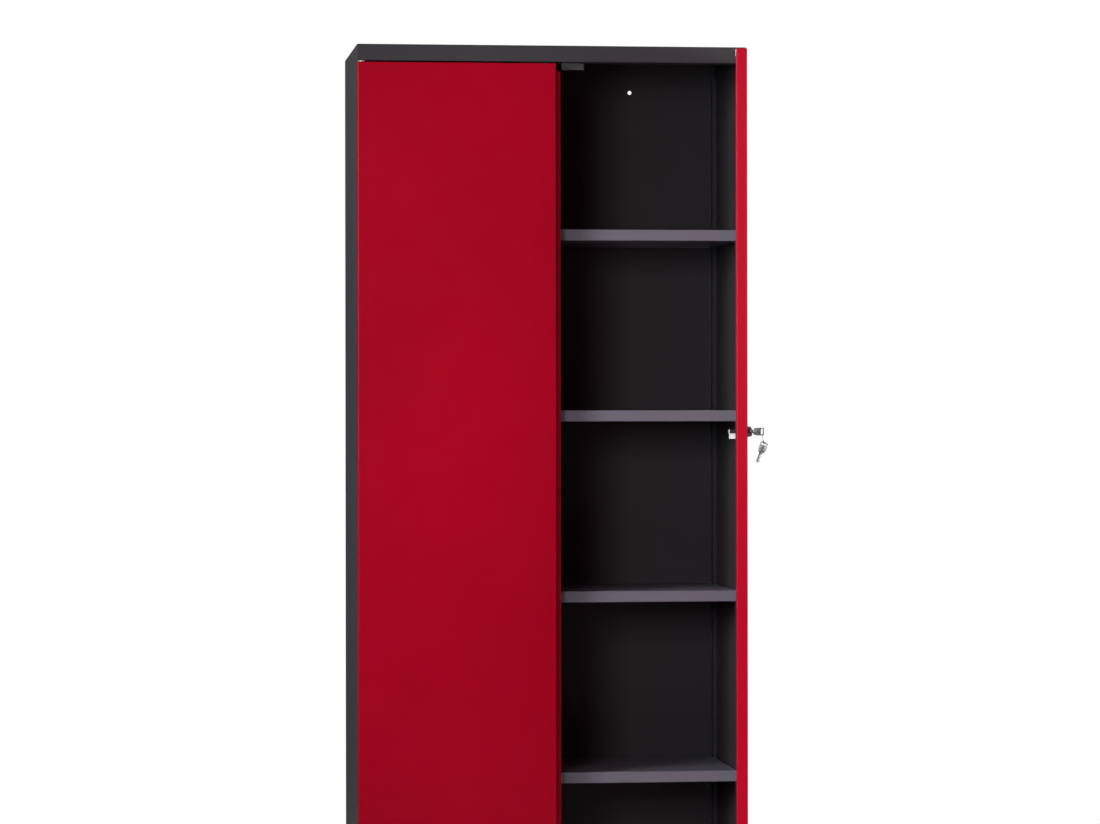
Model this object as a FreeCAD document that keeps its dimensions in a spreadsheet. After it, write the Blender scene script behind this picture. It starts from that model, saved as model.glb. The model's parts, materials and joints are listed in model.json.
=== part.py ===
import FreeCAD, Part
import os
import re

import Sketcher

# Two-door steel storage cabinet: a folded sheet-metal body with four shelves on slotted standards,
# two pan doors on pivot pins, and a key lock with a hooked cam in the right door.
# Frame: +Z up, the front faces -Y, the origin is the centre of the footprint on the floor.
# The left door is closed. The right door stands open, with a key and a spare key in its lock.

doc = FreeCAD.newDocument("storage_cabinet")

# Driving dimensions, each set once: name, millimetres or degrees, meaning.
DIMENSIONS = (
    ("cabinet_width", 762, "overall width"),
    ("cabinet_depth", 381, "overall depth, doors included"),
    ("cabinet_height", 1829, "overall height"),
    ("sheet", 1, "thickness of every folded sheet"),
    ("header_height", 32, "front rail above the doors"),
    ("header_return", 40, "depth of the header's lower return"),
    ("base_height", 51, "kick rail and deck height"),
    ("body_bend", 2, "bend radius along the front of the top and of the base"),
    ("inner_flange", 20, "flanges of the top panel inside the walls"),
    ("rear_flange", 22, "flange of each side panel along the back"),
    ("front_hem", 7, "hem of each side panel along the front"),
    ("door_thickness", 21, "depth of a door pan"),
    ("door_gap", 4, "space between a closed door and the body"),
    ("door_split", 8, "how far the meeting line lies right of the centre"),
    ("door_meeting_gap", 3, "space between the two closed doors"),
    ("door_top_gap", 1, "extra space above a door"),
    ("door_flange", 14, "inward flange on three sides of a door pan"),
    ("meeting_flange", 8, "inward flange along the meeting edge"),
    ("door_bend", 2.5, "bend radius round a door's face and round its back"),
    ("pivot_inset", 8, "pivot axis from the door's outer edge"),
    ("pivot_setback", 10.5, "pivot axis behind the door's face"),
    ("pin_radius", 3, "pivot pin"),
    ("pin_collar", 5, "corner radius of the collar on a pivot pin"),
    ("pin_collar_height", 4, "height of that collar"),
    ("pin_reach", 9, "pin length past the door's edge"),
    ("bush_radius", 4.5, "corner radius of a pivot bush's sleeve"),
    ("bush_flange_radius", 7, "corner radius of its flange"),
    ("bush_flange", 1.5, "thickness of that flange"),
    ("bush_length", 7, "sleeve length below the flange"),
    ("running_clearance", 0.06, "radial clearance of pins and of the lock plug"),
    ("running_gap", 0.3, "gap between parts that move past each other"),
    ("lip_reach", 11, "meeting strip visible past the left door"),
    ("lip_joggle", 0.6, "step that keeps the strip clear of the right door"),
    ("stiffener_width", 90, "door stiffener across its top"),
    ("stiffener_depth", 14, "door stiffener height off the skin"),
    ("stiffener_foot", 15, "each foot of the door stiffener"),
    ("stiffener_margin", 40, "door stiffener short of the door's ends"),
    ("right_door_angle", 80.7, "angle at which the right door stands"),
    ("shelf_pitch", 355.6, "height from one shelf to the next"),
    ("shelf_flange", 22, "depth of a shelf's edge"),
    ("shelf_hem", 9, "turned-in hem under a shelf's edge"),
    ("shelf_bend", 2, "bend radii along a shelf's front"),
    ("shelf_setback", 30, "shelf's front edge behind the body's front"),
    ("shelf_end_gap", 0.5, "space between a shelf's end and a standard"),
    ("shelf_rear_gap", 3, "space between a shelf and the rear flanges"),
    ("rib_width", 60, "stiffening rib under a shelf"),
    ("rib_depth", 12, "height of that rib"),
    ("standard_width", 18, "slotted standard, front to back"),
    ("standard_depth", 8, "slotted standard, off the wall"),
    ("standard_inset", 34, "standard's edge from the body's front"),
    ("standard_rear_inset", 3, "rear standard from the rear flange"),
    ("standard_margin", 12, "standard short of the deck and of the top's flange"),
    ("slot_pitch", 50.8, "height from one slot to the next"),
    ("slot_height", 12, "slot in a standard"),
    ("slot_width", 3.2, "width of that slot"),
    ("slot_count", 33, "slots in a standard"),
    ("slot_lead", 2.5, "top of a slot below the ledge of its clip"),
    ("clip_width", 12, "shelf clip's ledge, front to back"),
    ("clip_ledge", 9, "how far a clip reaches under a shelf"),
    ("clip_thickness", 1.5, "clip's sheet"),
    ("clip_drop", 16, "clip's back below its ledge"),
    ("tongue_width", 2.8, "clip's tongue in a slot"),
    ("tongue_drop", 3, "clip's hook behind a slot"),
    ("screw_radius", 2, "corner radius of an assembly screw's shank"),
    ("screw_head", 4, "corner radius of its hexagon head"),
    ("screw_head_height", 1.6, "height of that head"),
    ("catch_width", 44, "magnetic catch"),
    ("catch_height", 13, "magnetic catch below the header"),
    ("catch_depth", 16, "magnetic catch, front to back"),
    ("catch_inset", 34, "catch's centre from the meeting line"),
    ("pole_thickness", 1.5, "steel pole plates of a catch"),
    ("pole_proud", 0.8, "pole plates past the catch's case"),
    ("pole_inset", 3.2, "pole plates from the top and bottom of the case"),
    ("strike_width", 36, "strike plate on a door"),
    ("strike_height", 12, "strike plate on a door"),
    ("anchor_spacing", 406.4, "wall anchor holes, one stud spacing apart"),
    ("anchor_radius", 4, "wall anchor hole"),
    ("anchor_drop", 60, "anchor holes below the top"),
    ("lock_height", 1078, "lock axis above the floor"),
    ("lock_edge", 17, "lock axis from the right door's free edge"),
    ("lock_barrel", 7.5, "radius of the lock's barrel"),
    ("lock_dome", 10, "radius of the lock's front"),
    ("lock_proud", 8.5, "lock's front past the door's face"),
    ("lock_rim", 2.2, "thickness of the front's rim"),
    ("lock_barrel_length", 17, "barrel behind the door's skin"),
    ("lock_nut_across", 21, "lock nut across its flats"),
    ("lock_nut_height", 4, "lock nut"),
    ("plug_radius", 5.4, "turning plug"),
    ("plug_recess", 0.4, "plug behind the lock's front"),
    ("tail_side", 6, "square tail of the plug"),
    ("cam_standoff", 12, "cam plate behind the door's back"),
    ("cam_thickness", 1.6, "cam plate"),
    ("cam_width", 10, "width of the cam's arm"),
    ("cam_reach", 13.5, "cam's arm from the lock axis"),
    ("cam_back", 4.8, "cam plate on the other side of the axis"),
    ("cam_wing_start", 3.5, "bent wing from the lock axis"),
    ("cam_screw_radius", 1.5, "cam screw's shank"),
    ("cam_screw_head", 4, "radius of the cam screw's head"),
    ("cam_screw_head_height", 2, "height of that head"),
    ("cam_screw_length", 8, "cam screw in the tail"),
    ("key_thickness", 2, "key's sheet"),
    ("bow_length", 21, "key's bow along the key"),
    ("bow_width", 14.5, "key's bow across the key"),
    ("bow_corner", 2.6, "cut corner of the bow"),
    ("bow_gap", 1.5, "bow's shoulder past the lock's front"),
    ("bow_slot_length", 11, "slot across the bow"),
    ("bow_slot_width", 3.4, "width of that slot"),
    ("bow_slot_edge", 2.6, "bar between the slot and the bow's end"),
    ("blade_length", 20, "key's blade"),
    ("blade_width", 6, "key's blade"),
    ("bitting_depth", 1.6, "deepest cut in the blade"),
    ("bitting_pitch", 2.85, "distance from one cut to the next"),
    ("bitting_flat", 2, "length of each cut's floor"),
    ("ring_radius", 9.5, "key ring to the middle of its wire"),
    ("ring_wire", 0.7, "radius of the ring's wire"),
    ("ring_angle", 12, "ring's lean away from the door, degrees"),
    ("spare_angle", 20, "spare key's lean towards the door, degrees"),
    ("support_width", 60, "hat channel under the deck"),
    ("support_brim", 12, "each brim of that channel"),
)

SHELF_NUMBERS = (1, 2, 3, 4)
LOWEST_SLOT = 2
OCTAGON = range(0, 360, 45)
HEXAGON = range(0, 360, 60)
# Share of the lock's proud height, then of its dome's radius, from the front backwards.
DOME_PROFILE = ((0, 0.7), (0.27, 0.9))
# Share of the deepest cut, from the key's tip.
BITTING = (0.4, 1.0, 0.6, 0.9)
BACK_SCREW_STEPS = (1, 3, 5, 7)
ALIASES = {row[0] for row in DIMENSIONS}

sizes = doc.addObject("Spreadsheet::Sheet", "sizes")
for row_number, (alias, value, meaning) in enumerate(DIMENSIONS, start=1):
    sizes.set(f"A{row_number}", str(value))
    sizes.setAlias(f"A{row_number}", alias)
    sizes.set(f"B{row_number}", meaning)
doc.recompute()

# Places, worked out from the driving dimensions.
FACE = "(-cabinet_depth / 2)"
DOOR_BACK = "(-cabinet_depth / 2 + door_thickness)"
BODY_FRONT = "(-cabinet_depth / 2 + door_thickness + door_gap)"
BACK_INSIDE = "(cabinet_depth / 2 - sheet)"
PAN_REAR = "(cabinet_depth / 2 - 2 * sheet)"
WALL = "(cabinet_width / 2 - sheet)"
HEADER_UNDER = "(cabinet_height - header_height)"
DOOR_BOTTOM = "(base_height + bush_flange + running_gap)"
DOOR_TOP = "(cabinet_height - header_height - bush_flange - door_top_gap)"
PIVOT_X = "(cabinet_width / 2 - pivot_inset)"
PIVOT_Y = "(-cabinet_depth / 2 + pivot_setback)"
LEFT_WIDTH = "(cabinet_width / 2 + door_split - door_meeting_gap / 2)"
RIGHT_WIDTH = "(cabinet_width / 2 - door_split - door_meeting_gap / 2)"
SHELF_FRONT = f"({BODY_FRONT} + shelf_setback)"
SHELF_REAR = f"({PAN_REAR} - shelf_rear_gap)"
SHELF_END = f"({WALL} - standard_depth - shelf_end_gap)"
FRONT_STANDARD = f"({BODY_FRONT} + standard_inset)"
REAR_STANDARD = f"({PAN_REAR} - standard_rear_inset - standard_width)"
STANDARD_FACE = f"({WALL} - standard_depth)"
STANDARD_START = "(base_height + standard_margin)"
STANDARD_LENGTH = "(cabinet_height - inner_flange - base_height - 2 * standard_margin)"
SLOT_DROP = "(shelf_flange + clip_thickness + slot_lead)"

# Places on the right door, in the door's own frame: x and y from its pivot axis, door closed.
LOCK_X = f"(pivot_inset - {RIGHT_WIDTH} + lock_edge)"
LOCK_FACE = "(-pivot_setback)"
LOCK_FRONT = "(-pivot_setback - lock_proud)"
BARREL_END = "(-pivot_setback + sheet + lock_barrel_length)"
CAM_FRONT = "(-pivot_setback + door_thickness + cam_standoff)"
BOW_START = f"({LOCK_FRONT} - bow_gap)"
SLOT_MIDDLE = f"({BOW_START} - bow_length + bow_slot_edge + bow_slot_width / 2)"
SLOT_LOW = "(-bow_slot_length / 2)"
RING_TOP = f"(lock_height + {SLOT_LOW} + ring_wire + running_gap)"


def bound(text):
    """Turns sheet names in an expression into references to the sheet."""
    def in_sheet(word):
        return f"sizes.{word.group()}" if word.group() in ALIASES else word.group()

    return re.sub(r"[a-z][a-z_]+", in_sheet, text)


def number(text):
    """Value of an expression."""
    return float(sizes.evalExpression(bound(text)))


def bind(item, path, text):
    item.setExpression(path, bound(text))


def place(item, x="0", y="0", z="0", turn="0"):
    """Puts a piece at x, y, z, turned about the vertical."""
    item.Placement = FreeCAD.Placement(FreeCAD.Vector(), FreeCAD.Rotation(FreeCAD.Vector(0, 0, 1), 1))
    for axis, text in (("x", x), ("y", y), ("z", z)):
        bind(item, f"Placement.Base.{axis}", text)
    bind(item, "Placement.Rotation.Angle", turn)


def on_left_door(item):
    place(item, f"-{PIVOT_X}", PIVOT_Y)


def on_right_door(item):
    place(item, PIVOT_X, PIVOT_Y, turn="right_door_angle")


def new_body(label):
    body = doc.addObject("PartDesign::Body", label)
    body.Label = label
    return body


def new_sketch(body, plane, start):
    """Sketch on one of the body's own planes, moved along the plane's axis to start."""
    sketch = body.newObject("Sketcher::SketchObject", f"{body.Name}_sketch")
    face = next(feature for feature in body.Origin.OriginFeatures if feature.Role == f"{plane}_Plane")
    sketch.AttachmentSupport = (face, [""])
    sketch.MapMode = "FlatFace"
    bind(sketch, "AttachmentOffset.Base.z", f"-({start})" if plane == "XZ" else start)
    return sketch


def fix_point(sketch, geometry, point, across, up):
    """Holds a sketch point at two distances from the sketch's origin."""
    for kind, text in (("DistanceX", across), ("DistanceY", up)):
        index = sketch.addConstraint(Sketcher.Constraint(kind, -1, 1, geometry, point, number(text)))
        bind(sketch, f"Constraints[{index}]", text)


def draw_outline(sketch, corners):
    """Closed outline through corners, each a pair of expressions."""
    points = [FreeCAD.Vector(number(across), number(up), 0) for across, up in corners]
    lines = [Part.LineSegment(points[i], points[(i + 1) % len(points)]) for i in range(len(points))]
    first = sketch.addGeometry(lines, False)[0]
    for i, (across, up) in enumerate(corners):
        following = first + (i + 1) % len(corners)
        sketch.addConstraint(Sketcher.Constraint("Coincident", first + i, 2, following, 1))
        fix_point(sketch, first + i, 1, across, up)


def draw_circle(sketch, across, up, radius):
    middle = FreeCAD.Vector(number(across), number(up), 0)
    circle = sketch.addGeometry(Part.Circle(middle, FreeCAD.Vector(0, 0, 1), number(radius)), False)
    fix_point(sketch, circle, 3, across, up)
    index = sketch.addConstraint(Sketcher.Constraint("Radius", circle, number(radius)))
    bind(sketch, f"Constraints[{index}]", radius)


def rectangle(left, right, low, high):
    return [(left, low), (right, low), (right, high), (left, high)]


def octagon(across, up, radius, angles=OCTAGON):
    """Outline with its corners on a circle, eight of them unless other angles are given."""
    return [(f"{across} + {radius} * cos({angle})", f"{up} + {radius} * sin({angle})") for angle in angles]


def pad(body, plane, outlines, start, length, circles=()):
    """Adds outlines and circles, drawn on a plane at start, thickened along the plane's axis."""
    sketch = new_sketch(body, plane, start)
    for outline in outlines:
        draw_outline(sketch, outline)
    for circle in circles:
        draw_circle(sketch, *circle)
    feature = body.newObject("PartDesign::Pad", f"{body.Name}_pad")
    feature.Profile = sketch
    feature.Reversed = plane == "XZ"
    feature.Refine = True
    bind(feature, "Length", length)
    return feature


def cut(body, plane, outlines, start, length, circles=()):
    """Removes outlines and circles, running from start along the plane's axis."""
    doc.recompute()
    before = body.Shape.Volume
    sketch = new_sketch(body, plane, start)
    for outline in outlines:
        draw_outline(sketch, outline)
    for circle in circles:
        draw_circle(sketch, *circle)
    feature = body.newObject("PartDesign::Pocket", f"{body.Name}_cut")
    feature.Profile = sketch
    feature.Reversed = plane != "XZ"
    feature.Refine = True
    bind(feature, "Length", length)
    doc.recompute()
    if not body.Shape.Volume < before:
        raise RuntimeError(f"a cut in {body.Label} removes nothing")
    return feature


def turn_solid(body, plane, outline, axis):
    """Revolves an outline about an axis of its sketch, through the body's own origin."""
    sketch = new_sketch(body, plane, "0")
    draw_outline(sketch, outline)
    feature = body.newObject("PartDesign::Revolution", f"{body.Name}_turned")
    feature.Profile = sketch
    feature.ReferenceAxis = (sketch, [axis])
    feature.Angle = 360
    feature.Refine = True
    return feature


def round_edges(body, radius, wanted):
    """Rounds the edges whose two ends both pass the test."""
    doc.recompute()
    base = body.Tip
    names = []
    for index, edge in enumerate(base.Shape.Edges, start=1):
        if all(wanted(vertex.Point) for vertex in edge.Vertexes):
            names.append(f"Edge{index}")
    fillet = body.newObject("PartDesign::Fillet", f"{body.Name}_rounding")
    fillet.Base = (base, names)
    bind(fillet, "Radius", radius)
    doc.recompute()
    return fillet


def between(text, low, high):
    return number(low) < number(text) < number(high)


def near(value, text):
    """True where a measured coordinate equals an expression."""
    return abs(value - number(text)) < 1e-4


# Carcass: side panels, back, top, base.

def side_panel(label, side):
    """Wall with a rear flange, a front hem and ears that close the header and the kick rail."""
    body = new_body(label)
    web = rectangle(f"{side} * {WALL}", f"{side} * cabinet_width / 2", FACE, BACK_INSIDE)
    pad(body, "XY", [web], "0", "cabinet_height")
    flange_edge = f"{side} * (cabinet_width / 2 - rear_flange)"
    flange = rectangle(flange_edge, f"{side} * {WALL}", PAN_REAR, BACK_INSIDE)
    pad(body, "XY", [flange], "0", "cabinet_height")
    hem_edge = f"{side} * ({WALL} - front_hem)"
    hem = rectangle(hem_edge, f"{side} * {WALL}", BODY_FRONT, f"{BODY_FRONT} + sheet")
    pad(body, "XY", [hem], "base_height", f"{HEADER_UNDER} - base_height")
    wall_start = WALL if side > 0 else "-cabinet_width / 2"
    notch = rectangle(FACE, BODY_FRONT, "base_height", HEADER_UNDER)
    cut(body, "YZ", [notch], wall_start, "sheet")
    cut(body, "YZ", [octagon(y, z, "screw_radius") for y, z in wall_screw_places()], wall_start, "sheet")
    cut(body, "XZ", back_screw_holes(side), PAN_REAR, "sheet")
    round_front(body, ("cabinet_height", HEADER_UNDER, "base_height"))


def round_front(body, heights):
    """Rounds the edges that lie along the cabinet's front at the given heights."""
    for height in heights:
        round_edges(body, "body_bend", lambda point: near(point.y, FACE) and near(point.z, height))


def wall_screw_places():
    """Screws through each side panel into the flanges of the top and the base."""
    rows = (f"({FRONT_STANDARD} + standard_width + standard_inset)", f"({REAR_STANDARD} - standard_inset)")
    heights = ("(base_height / 2)", "(cabinet_height - inner_flange / 2)")
    return [(y, z) for z in heights for y in rows]


def back_screw_places():
    """Screws that join the back panel to the rear flanges, in the middles of equal lengths."""
    x = f"({WALL} - rear_flange / 2)"
    part_height = f"(cabinet_height - base_height - inner_flange) / {len(BACK_SCREW_STEPS) * 2}"
    return [(x, f"(base_height + {step} * {part_height})") for step in BACK_SCREW_STEPS]


def back_screw_holes(side):
    return [octagon(f"{side} * {x}", z, "screw_radius") for x, z in back_screw_places()]


def back_panel():
    body = new_body("back_panel")
    sheet_outline = rectangle("-cabinet_width / 2", "cabinet_width / 2", "0", "cabinet_height")
    pad(body, "XZ", [sheet_outline], BACK_INSIDE, "sheet")
    anchor_height = "cabinet_height - anchor_drop"
    anchors = [(f"{side} * anchor_spacing / 2", anchor_height, "anchor_radius") for side in (-1, 1)]
    cut(body, "XZ", back_screw_holes(-1) + back_screw_holes(1), BACK_INSIDE, "sheet", anchors)


def end_flanges(body, low, high):
    """Flanges of the top or the base that lie against the two walls, with their screw holes."""
    for side in (-1, 1):
        outline = rectangle(f"{FACE} + sheet", f"{PAN_REAR} - sheet", low, high)
        start = f"{WALL} - sheet" if side > 0 else f"-{WALL}"
        pad(body, "YZ", [outline], start, "sheet")
        holes = [octagon(y, z, "screw_radius") for y, z in wall_screw_places() if between(z, low, high)]
        cut(body, "YZ", holes, start, "sheet")


def bush_holes(body, start):
    holes = [octagon(f"{side} * {PIVOT_X}", PIVOT_Y, "bush_radius") for side in (-1, 1)]
    cut(body, "XY", holes, start, "sheet")


def top_panel():
    """Top sheet with the front rail over the doors, whose return carries the upper bushes."""
    body = new_body("top_panel")
    top = "cabinet_height"
    section = [
        (FACE, HEADER_UNDER),
        (f"{FACE} + header_return", HEADER_UNDER),
        (f"{FACE} + header_return", f"{HEADER_UNDER} + sheet"),
        (f"{FACE} + sheet", f"{HEADER_UNDER} + sheet"),
        (f"{FACE} + sheet", f"{top} - sheet"),
        (f"{PAN_REAR} - sheet", f"{top} - sheet"),
        (f"{PAN_REAR} - sheet", f"{top} - inner_flange"),
        (PAN_REAR, f"{top} - inner_flange"),
        (PAN_REAR, top),
        (FACE, top),
    ]
    pad(body, "YZ", [section], f"-{WALL}", f"2 * {WALL}")
    end_flanges(body, f"{top} - inner_flange", f"{top} - sheet")
    bush_holes(body, HEADER_UNDER)
    round_front(body, (top, HEADER_UNDER))


def base_panel():
    """Deck that serves as the lowest shelf, with the kick rail and flanges down to the floor."""
    body = new_body("base_panel")
    section = [
        (FACE, "0"),
        (BODY_FRONT, "0"),
        (BODY_FRONT, "sheet"),
        (f"{FACE} + sheet", "sheet"),
        (f"{FACE} + sheet", "base_height - sheet"),
        (f"{PAN_REAR} - sheet", "base_height - sheet"),
        (f"{PAN_REAR} - sheet", "0"),
        (PAN_REAR, "0"),
        (PAN_REAR, "base_height"),
        (FACE, "base_height"),
    ]
    pad(body, "YZ", [section], f"-{WALL}", f"2 * {WALL}")
    end_flanges(body, "sheet", "base_height - sheet")
    bush_holes(body, "base_height - sheet")
    round_front(body, ("base_height",))


def deck_support():
    """Hat channel under the middle of the deck. Its web stands on the floor."""
    body = new_body("deck_support")
    half = "support_width / 2"
    brim = "support_width / 2 + support_brim"
    under = "base_height - sheet"
    section = [
        (f"-({half})", "0"),
        (half, "0"),
        (half, f"{under} - sheet"),
        (brim, f"{under} - sheet"),
        (brim, under),
        (f"{half} - sheet", under),
        (f"{half} - sheet", "sheet"),
        (f"sheet - {half}", "sheet"),
        (f"sheet - {half}", under),
        (f"-({brim})", under),
        (f"-({brim})", f"{under} - sheet"),
        (f"-({half})", f"{under} - sheet"),
    ]
    pad(body, "XZ", [section], BODY_FRONT, f"{PAN_REAR} - sheet - {BODY_FRONT}")


# Standards, shelves and clips.

def standard(label, side, front):
    """Slotted channel on a side wall. One slot in each pitch suits the clip of a shelf at that pitch."""
    body = new_body(label)
    rear = f"{front} + standard_width"
    section = [
        (f"{side} * {WALL}", front),
        (f"{side} * {STANDARD_FACE}", front),
        (f"{side} * {STANDARD_FACE}", rear),
        (f"{side} * {WALL}", rear),
        (f"{side} * {WALL}", f"{rear} - sheet"),
        (f"{side} * ({STANDARD_FACE} + sheet)", f"{rear} - sheet"),
        (f"{side} * ({STANDARD_FACE} + sheet)", f"{front} + sheet"),
        (f"{side} * {WALL}", f"{front} + sheet"),
    ]
    pad(body, "XY", [section], STANDARD_START, STANDARD_LENGTH)
    middle = f"{front} + standard_width / 2"
    high = f"base_height + {LOWEST_SLOT} * slot_pitch - {SLOT_DROP}"
    low = f"{high} - slot_height"
    slot = rectangle(f"{middle} - slot_width / 2", f"{middle} + slot_width / 2", low, high)
    web_start = STANDARD_FACE if side > 0 else f"-{STANDARD_FACE} - sheet"
    slot_cut = cut(body, "YZ", [slot], web_start, "sheet")
    row = body.newObject("PartDesign::LinearPattern", f"{label}_slots")
    row.Originals = [slot_cut]
    row.Direction = (slot_cut.Profile[0], ["V_Axis"])
    row.Mode = "Spacing"
    bind(row, "Offset", "slot_pitch")
    bind(row, "Occurrences", "slot_count")
    body.Tip = row
    doc.recompute()


def shelf_top(shelf_number):
    return f"(base_height + {shelf_number} * shelf_pitch)"


def shelf(shelf_number):
    """Folded pan with hemmed edges, closed ends and a rib along its underside."""
    body = new_body(f"shelf_{shelf_number}")
    top = shelf_top(shelf_number)
    under = f"{top} - shelf_flange"
    section = [
        (SHELF_FRONT, under),
        (f"{SHELF_FRONT} + shelf_hem", under),
        (f"{SHELF_FRONT} + shelf_hem", f"{under} + sheet"),
        (f"{SHELF_FRONT} + sheet", f"{under} + sheet"),
        (f"{SHELF_FRONT} + sheet", f"{top} - sheet"),
        (f"{SHELF_REAR} - sheet", f"{top} - sheet"),
        (f"{SHELF_REAR} - sheet", f"{under} + sheet"),
        (f"{SHELF_REAR} - shelf_hem", f"{under} + sheet"),
        (f"{SHELF_REAR} - shelf_hem", under),
        (SHELF_REAR, under),
        (SHELF_REAR, top),
        (SHELF_FRONT, top),
    ]
    pad(body, "YZ", [section], f"-{SHELF_END}", f"2 * {SHELF_END}")
    for start in (f"-{SHELF_END}", f"{SHELF_END} - sheet"):
        closing = rectangle(f"{SHELF_FRONT} + sheet", f"{SHELF_REAR} - sheet", under, f"{top} - sheet")
        pad(body, "YZ", [closing], start, "sheet")
    rib_low = f"{top} - sheet - rib_depth"
    rib = [
        ("-rib_width / 2", f"{top} - sheet"),
        ("-rib_width / 3", rib_low),
        ("rib_width / 3", rib_low),
        ("rib_width / 2", f"{top} - sheet"),
        ("rib_width / 2 - sheet", f"{top} - sheet"),
        ("rib_width / 3 - sheet", f"{rib_low} + sheet"),
        ("-rib_width / 3 + sheet", f"{rib_low} + sheet"),
        ("-rib_width / 2 + sheet", f"{top} - sheet"),
    ]
    pad(body, "YZ", [rib], f"-{SHELF_END} + sheet", f"2 * ({SHELF_END} - sheet)")
    for height in (top, under):
        round_edges(body, "shelf_bend", lambda point: near(point.y, SHELF_FRONT) and near(point.z, height))


def clip(shelf_number, side, front, position):
    """Bent clip: a ledge under the shelf, a back against the standard, a tongue hooked in a slot."""
    body = new_body(f"clip_{shelf_number}_{position}")
    under = f"{shelf_top(shelf_number)} - shelf_flange"
    ledge_low = f"{under} - clip_thickness"
    face = STANDARD_FACE
    back_face = f"{face} - clip_thickness"
    middle = f"{front} + standard_width / 2"
    ledge = [
        (f"{side} * ({face} - clip_ledge)", ledge_low),
        (f"{side} * {face}", ledge_low),
        (f"{side} * {face}", under),
        (f"{side} * ({face} - clip_ledge)", under),
    ]
    pad(body, "XZ", [ledge], f"{middle} - clip_width / 2", "clip_width")
    hang = rectangle(f"{side} * ({back_face})", f"{side} * {face}", f"{ledge_low} - clip_drop", ledge_low)
    pad(body, "XZ", [hang], f"{middle} - clip_width / 2", "clip_width")
    slot_top = f"({shelf_top(shelf_number)} - {SLOT_DROP})"
    tongue = [
        (f"{side} * {face}", f"{slot_top} - slot_height + tongue_drop"),
        (f"{side} * ({face} + sheet)", f"{slot_top} - slot_height + tongue_drop"),
        (f"{side} * ({face} + sheet)", f"{slot_top} - slot_height"),
        (f"{side} * ({face} + sheet + clip_thickness)", f"{slot_top} - slot_height"),
        (f"{side} * ({face} + sheet + clip_thickness)", f"{slot_top} - slot_height / 2"),
        (f"{side} * {face}", f"{slot_top} - slot_height / 2"),
    ]
    pad(body, "XZ", [tongue], f"{middle} - tongue_width / 2", "tongue_width")
    doc.recompute()
    return body


def group(label, members):
    """One node of several separate solids."""
    compound = doc.addObject("Part::Compound", label)
    compound.Label = label
    compound.Links = members
    return compound


def shelf_clips(shelf_number):
    members = []
    for side in (-1, 1):
        for front in (FRONT_STANDARD, REAR_STANDARD):
            members.append(clip(shelf_number, side, front, len(members)))
    group(f"shelf_{shelf_number}_clips", members)


# Assembly screws.

def screw(label, length, x, y, z, axis, angle):
    """Low hexagon-headed screw. Its head lies on the point given and its shank runs on from there."""
    head = doc.addObject("Part::Prism", f"{label}_head")
    head.Polygon = 6
    bind(head, "Circumradius", "screw_head")
    bind(head, "Height", "screw_head_height")
    bind(head, "Placement.Base.z", "-screw_head_height")
    shank = doc.addObject("Part::Prism", f"{label}_shank")
    shank.Polygon = len(OCTAGON)
    bind(shank, "Circumradius", "screw_radius")
    bind(shank, "Height", length)
    whole = doc.addObject("Part::Fuse", label)
    whole.Base = head
    whole.Tool = shank
    whole.Placement = FreeCAD.Placement(FreeCAD.Vector(), FreeCAD.Rotation(axis, angle))
    for name, text in (("x", x), ("y", y), ("z", z)):
        bind(whole, f"Placement.Base.{name}", text)
    return whole


def wall_screws():
    """Screws from inside, through the flanges of the top and the base and through each wall."""
    sideways = FreeCAD.Vector(0, 1, 0)
    ranges = (("base_screws", "0", "base_height"), ("top_screws", HEADER_UNDER, "cabinet_height"))
    for name, low, high in ranges:
        members = []
        for side in (-1, 1):
            for y, z in wall_screw_places():
                if between(z, low, high):
                    x = f"{side} * ({WALL} - sheet)"
                    label = f"{name}_{len(members)}"
                    members.append(screw(label, "2 * sheet", x, y, z, sideways, 90 * side))
        group(name, members)


def back_screws():
    """Screws from inside, through the rear flanges and the back panel."""
    members = []
    backwards = FreeCAD.Vector(1, 0, 0)
    for side in (-1, 1):
        for x, z in back_screw_places():
            label = f"back_screws_{len(members)}"
            members.append(screw(label, "2 * sheet", f"{side} * {x}", PAN_REAR, z, backwards, -90))
    group("back_screws", members)


# Pivots.

def pivot_bush(label, side, upper):
    """Eight-sided nylon bush for a pivot pin. The flange lies on the door's side of the sheet."""
    body = new_body(label)
    flange_start, sleeve_start = ("-bush_flange", "0") if upper else ("0", "-bush_length")
    pad(body, "XY", [octagon("0", "0", "bush_flange_radius")], flange_start, "bush_flange")
    pad(body, "XY", [octagon("0", "0", "bush_radius")], sleeve_start, "bush_length")
    bore = ("0", "0", "pin_radius + running_clearance")
    bore_start = flange_start if upper else sleeve_start
    cut(body, "XY", [], bore_start, "bush_flange + bush_length", [bore])
    place(body, f"{side} * {PIVOT_X}", PIVOT_Y, HEADER_UNDER if upper else "base_height")


def pivot_pin(label, seat, upper):
    """Pin with an eight-sided collar inside the door's edge. It runs in the bush."""
    body = new_body(label)
    if upper:
        collar_start = f"{DOOR_TOP} - sheet - pin_collar_height"
        shank_start = f"{DOOR_TOP} - sheet"
    else:
        collar_start = f"{DOOR_BOTTOM} + sheet"
        shank_start = f"{DOOR_BOTTOM} - pin_reach"
    pad(body, "XY", [octagon("0", "0", "pin_collar")], collar_start, "pin_collar_height")
    pad(body, "XY", [], shank_start, "pin_reach + sheet", [("0", "0", "pin_radius")])
    seat(body)


# Doors.

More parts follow.
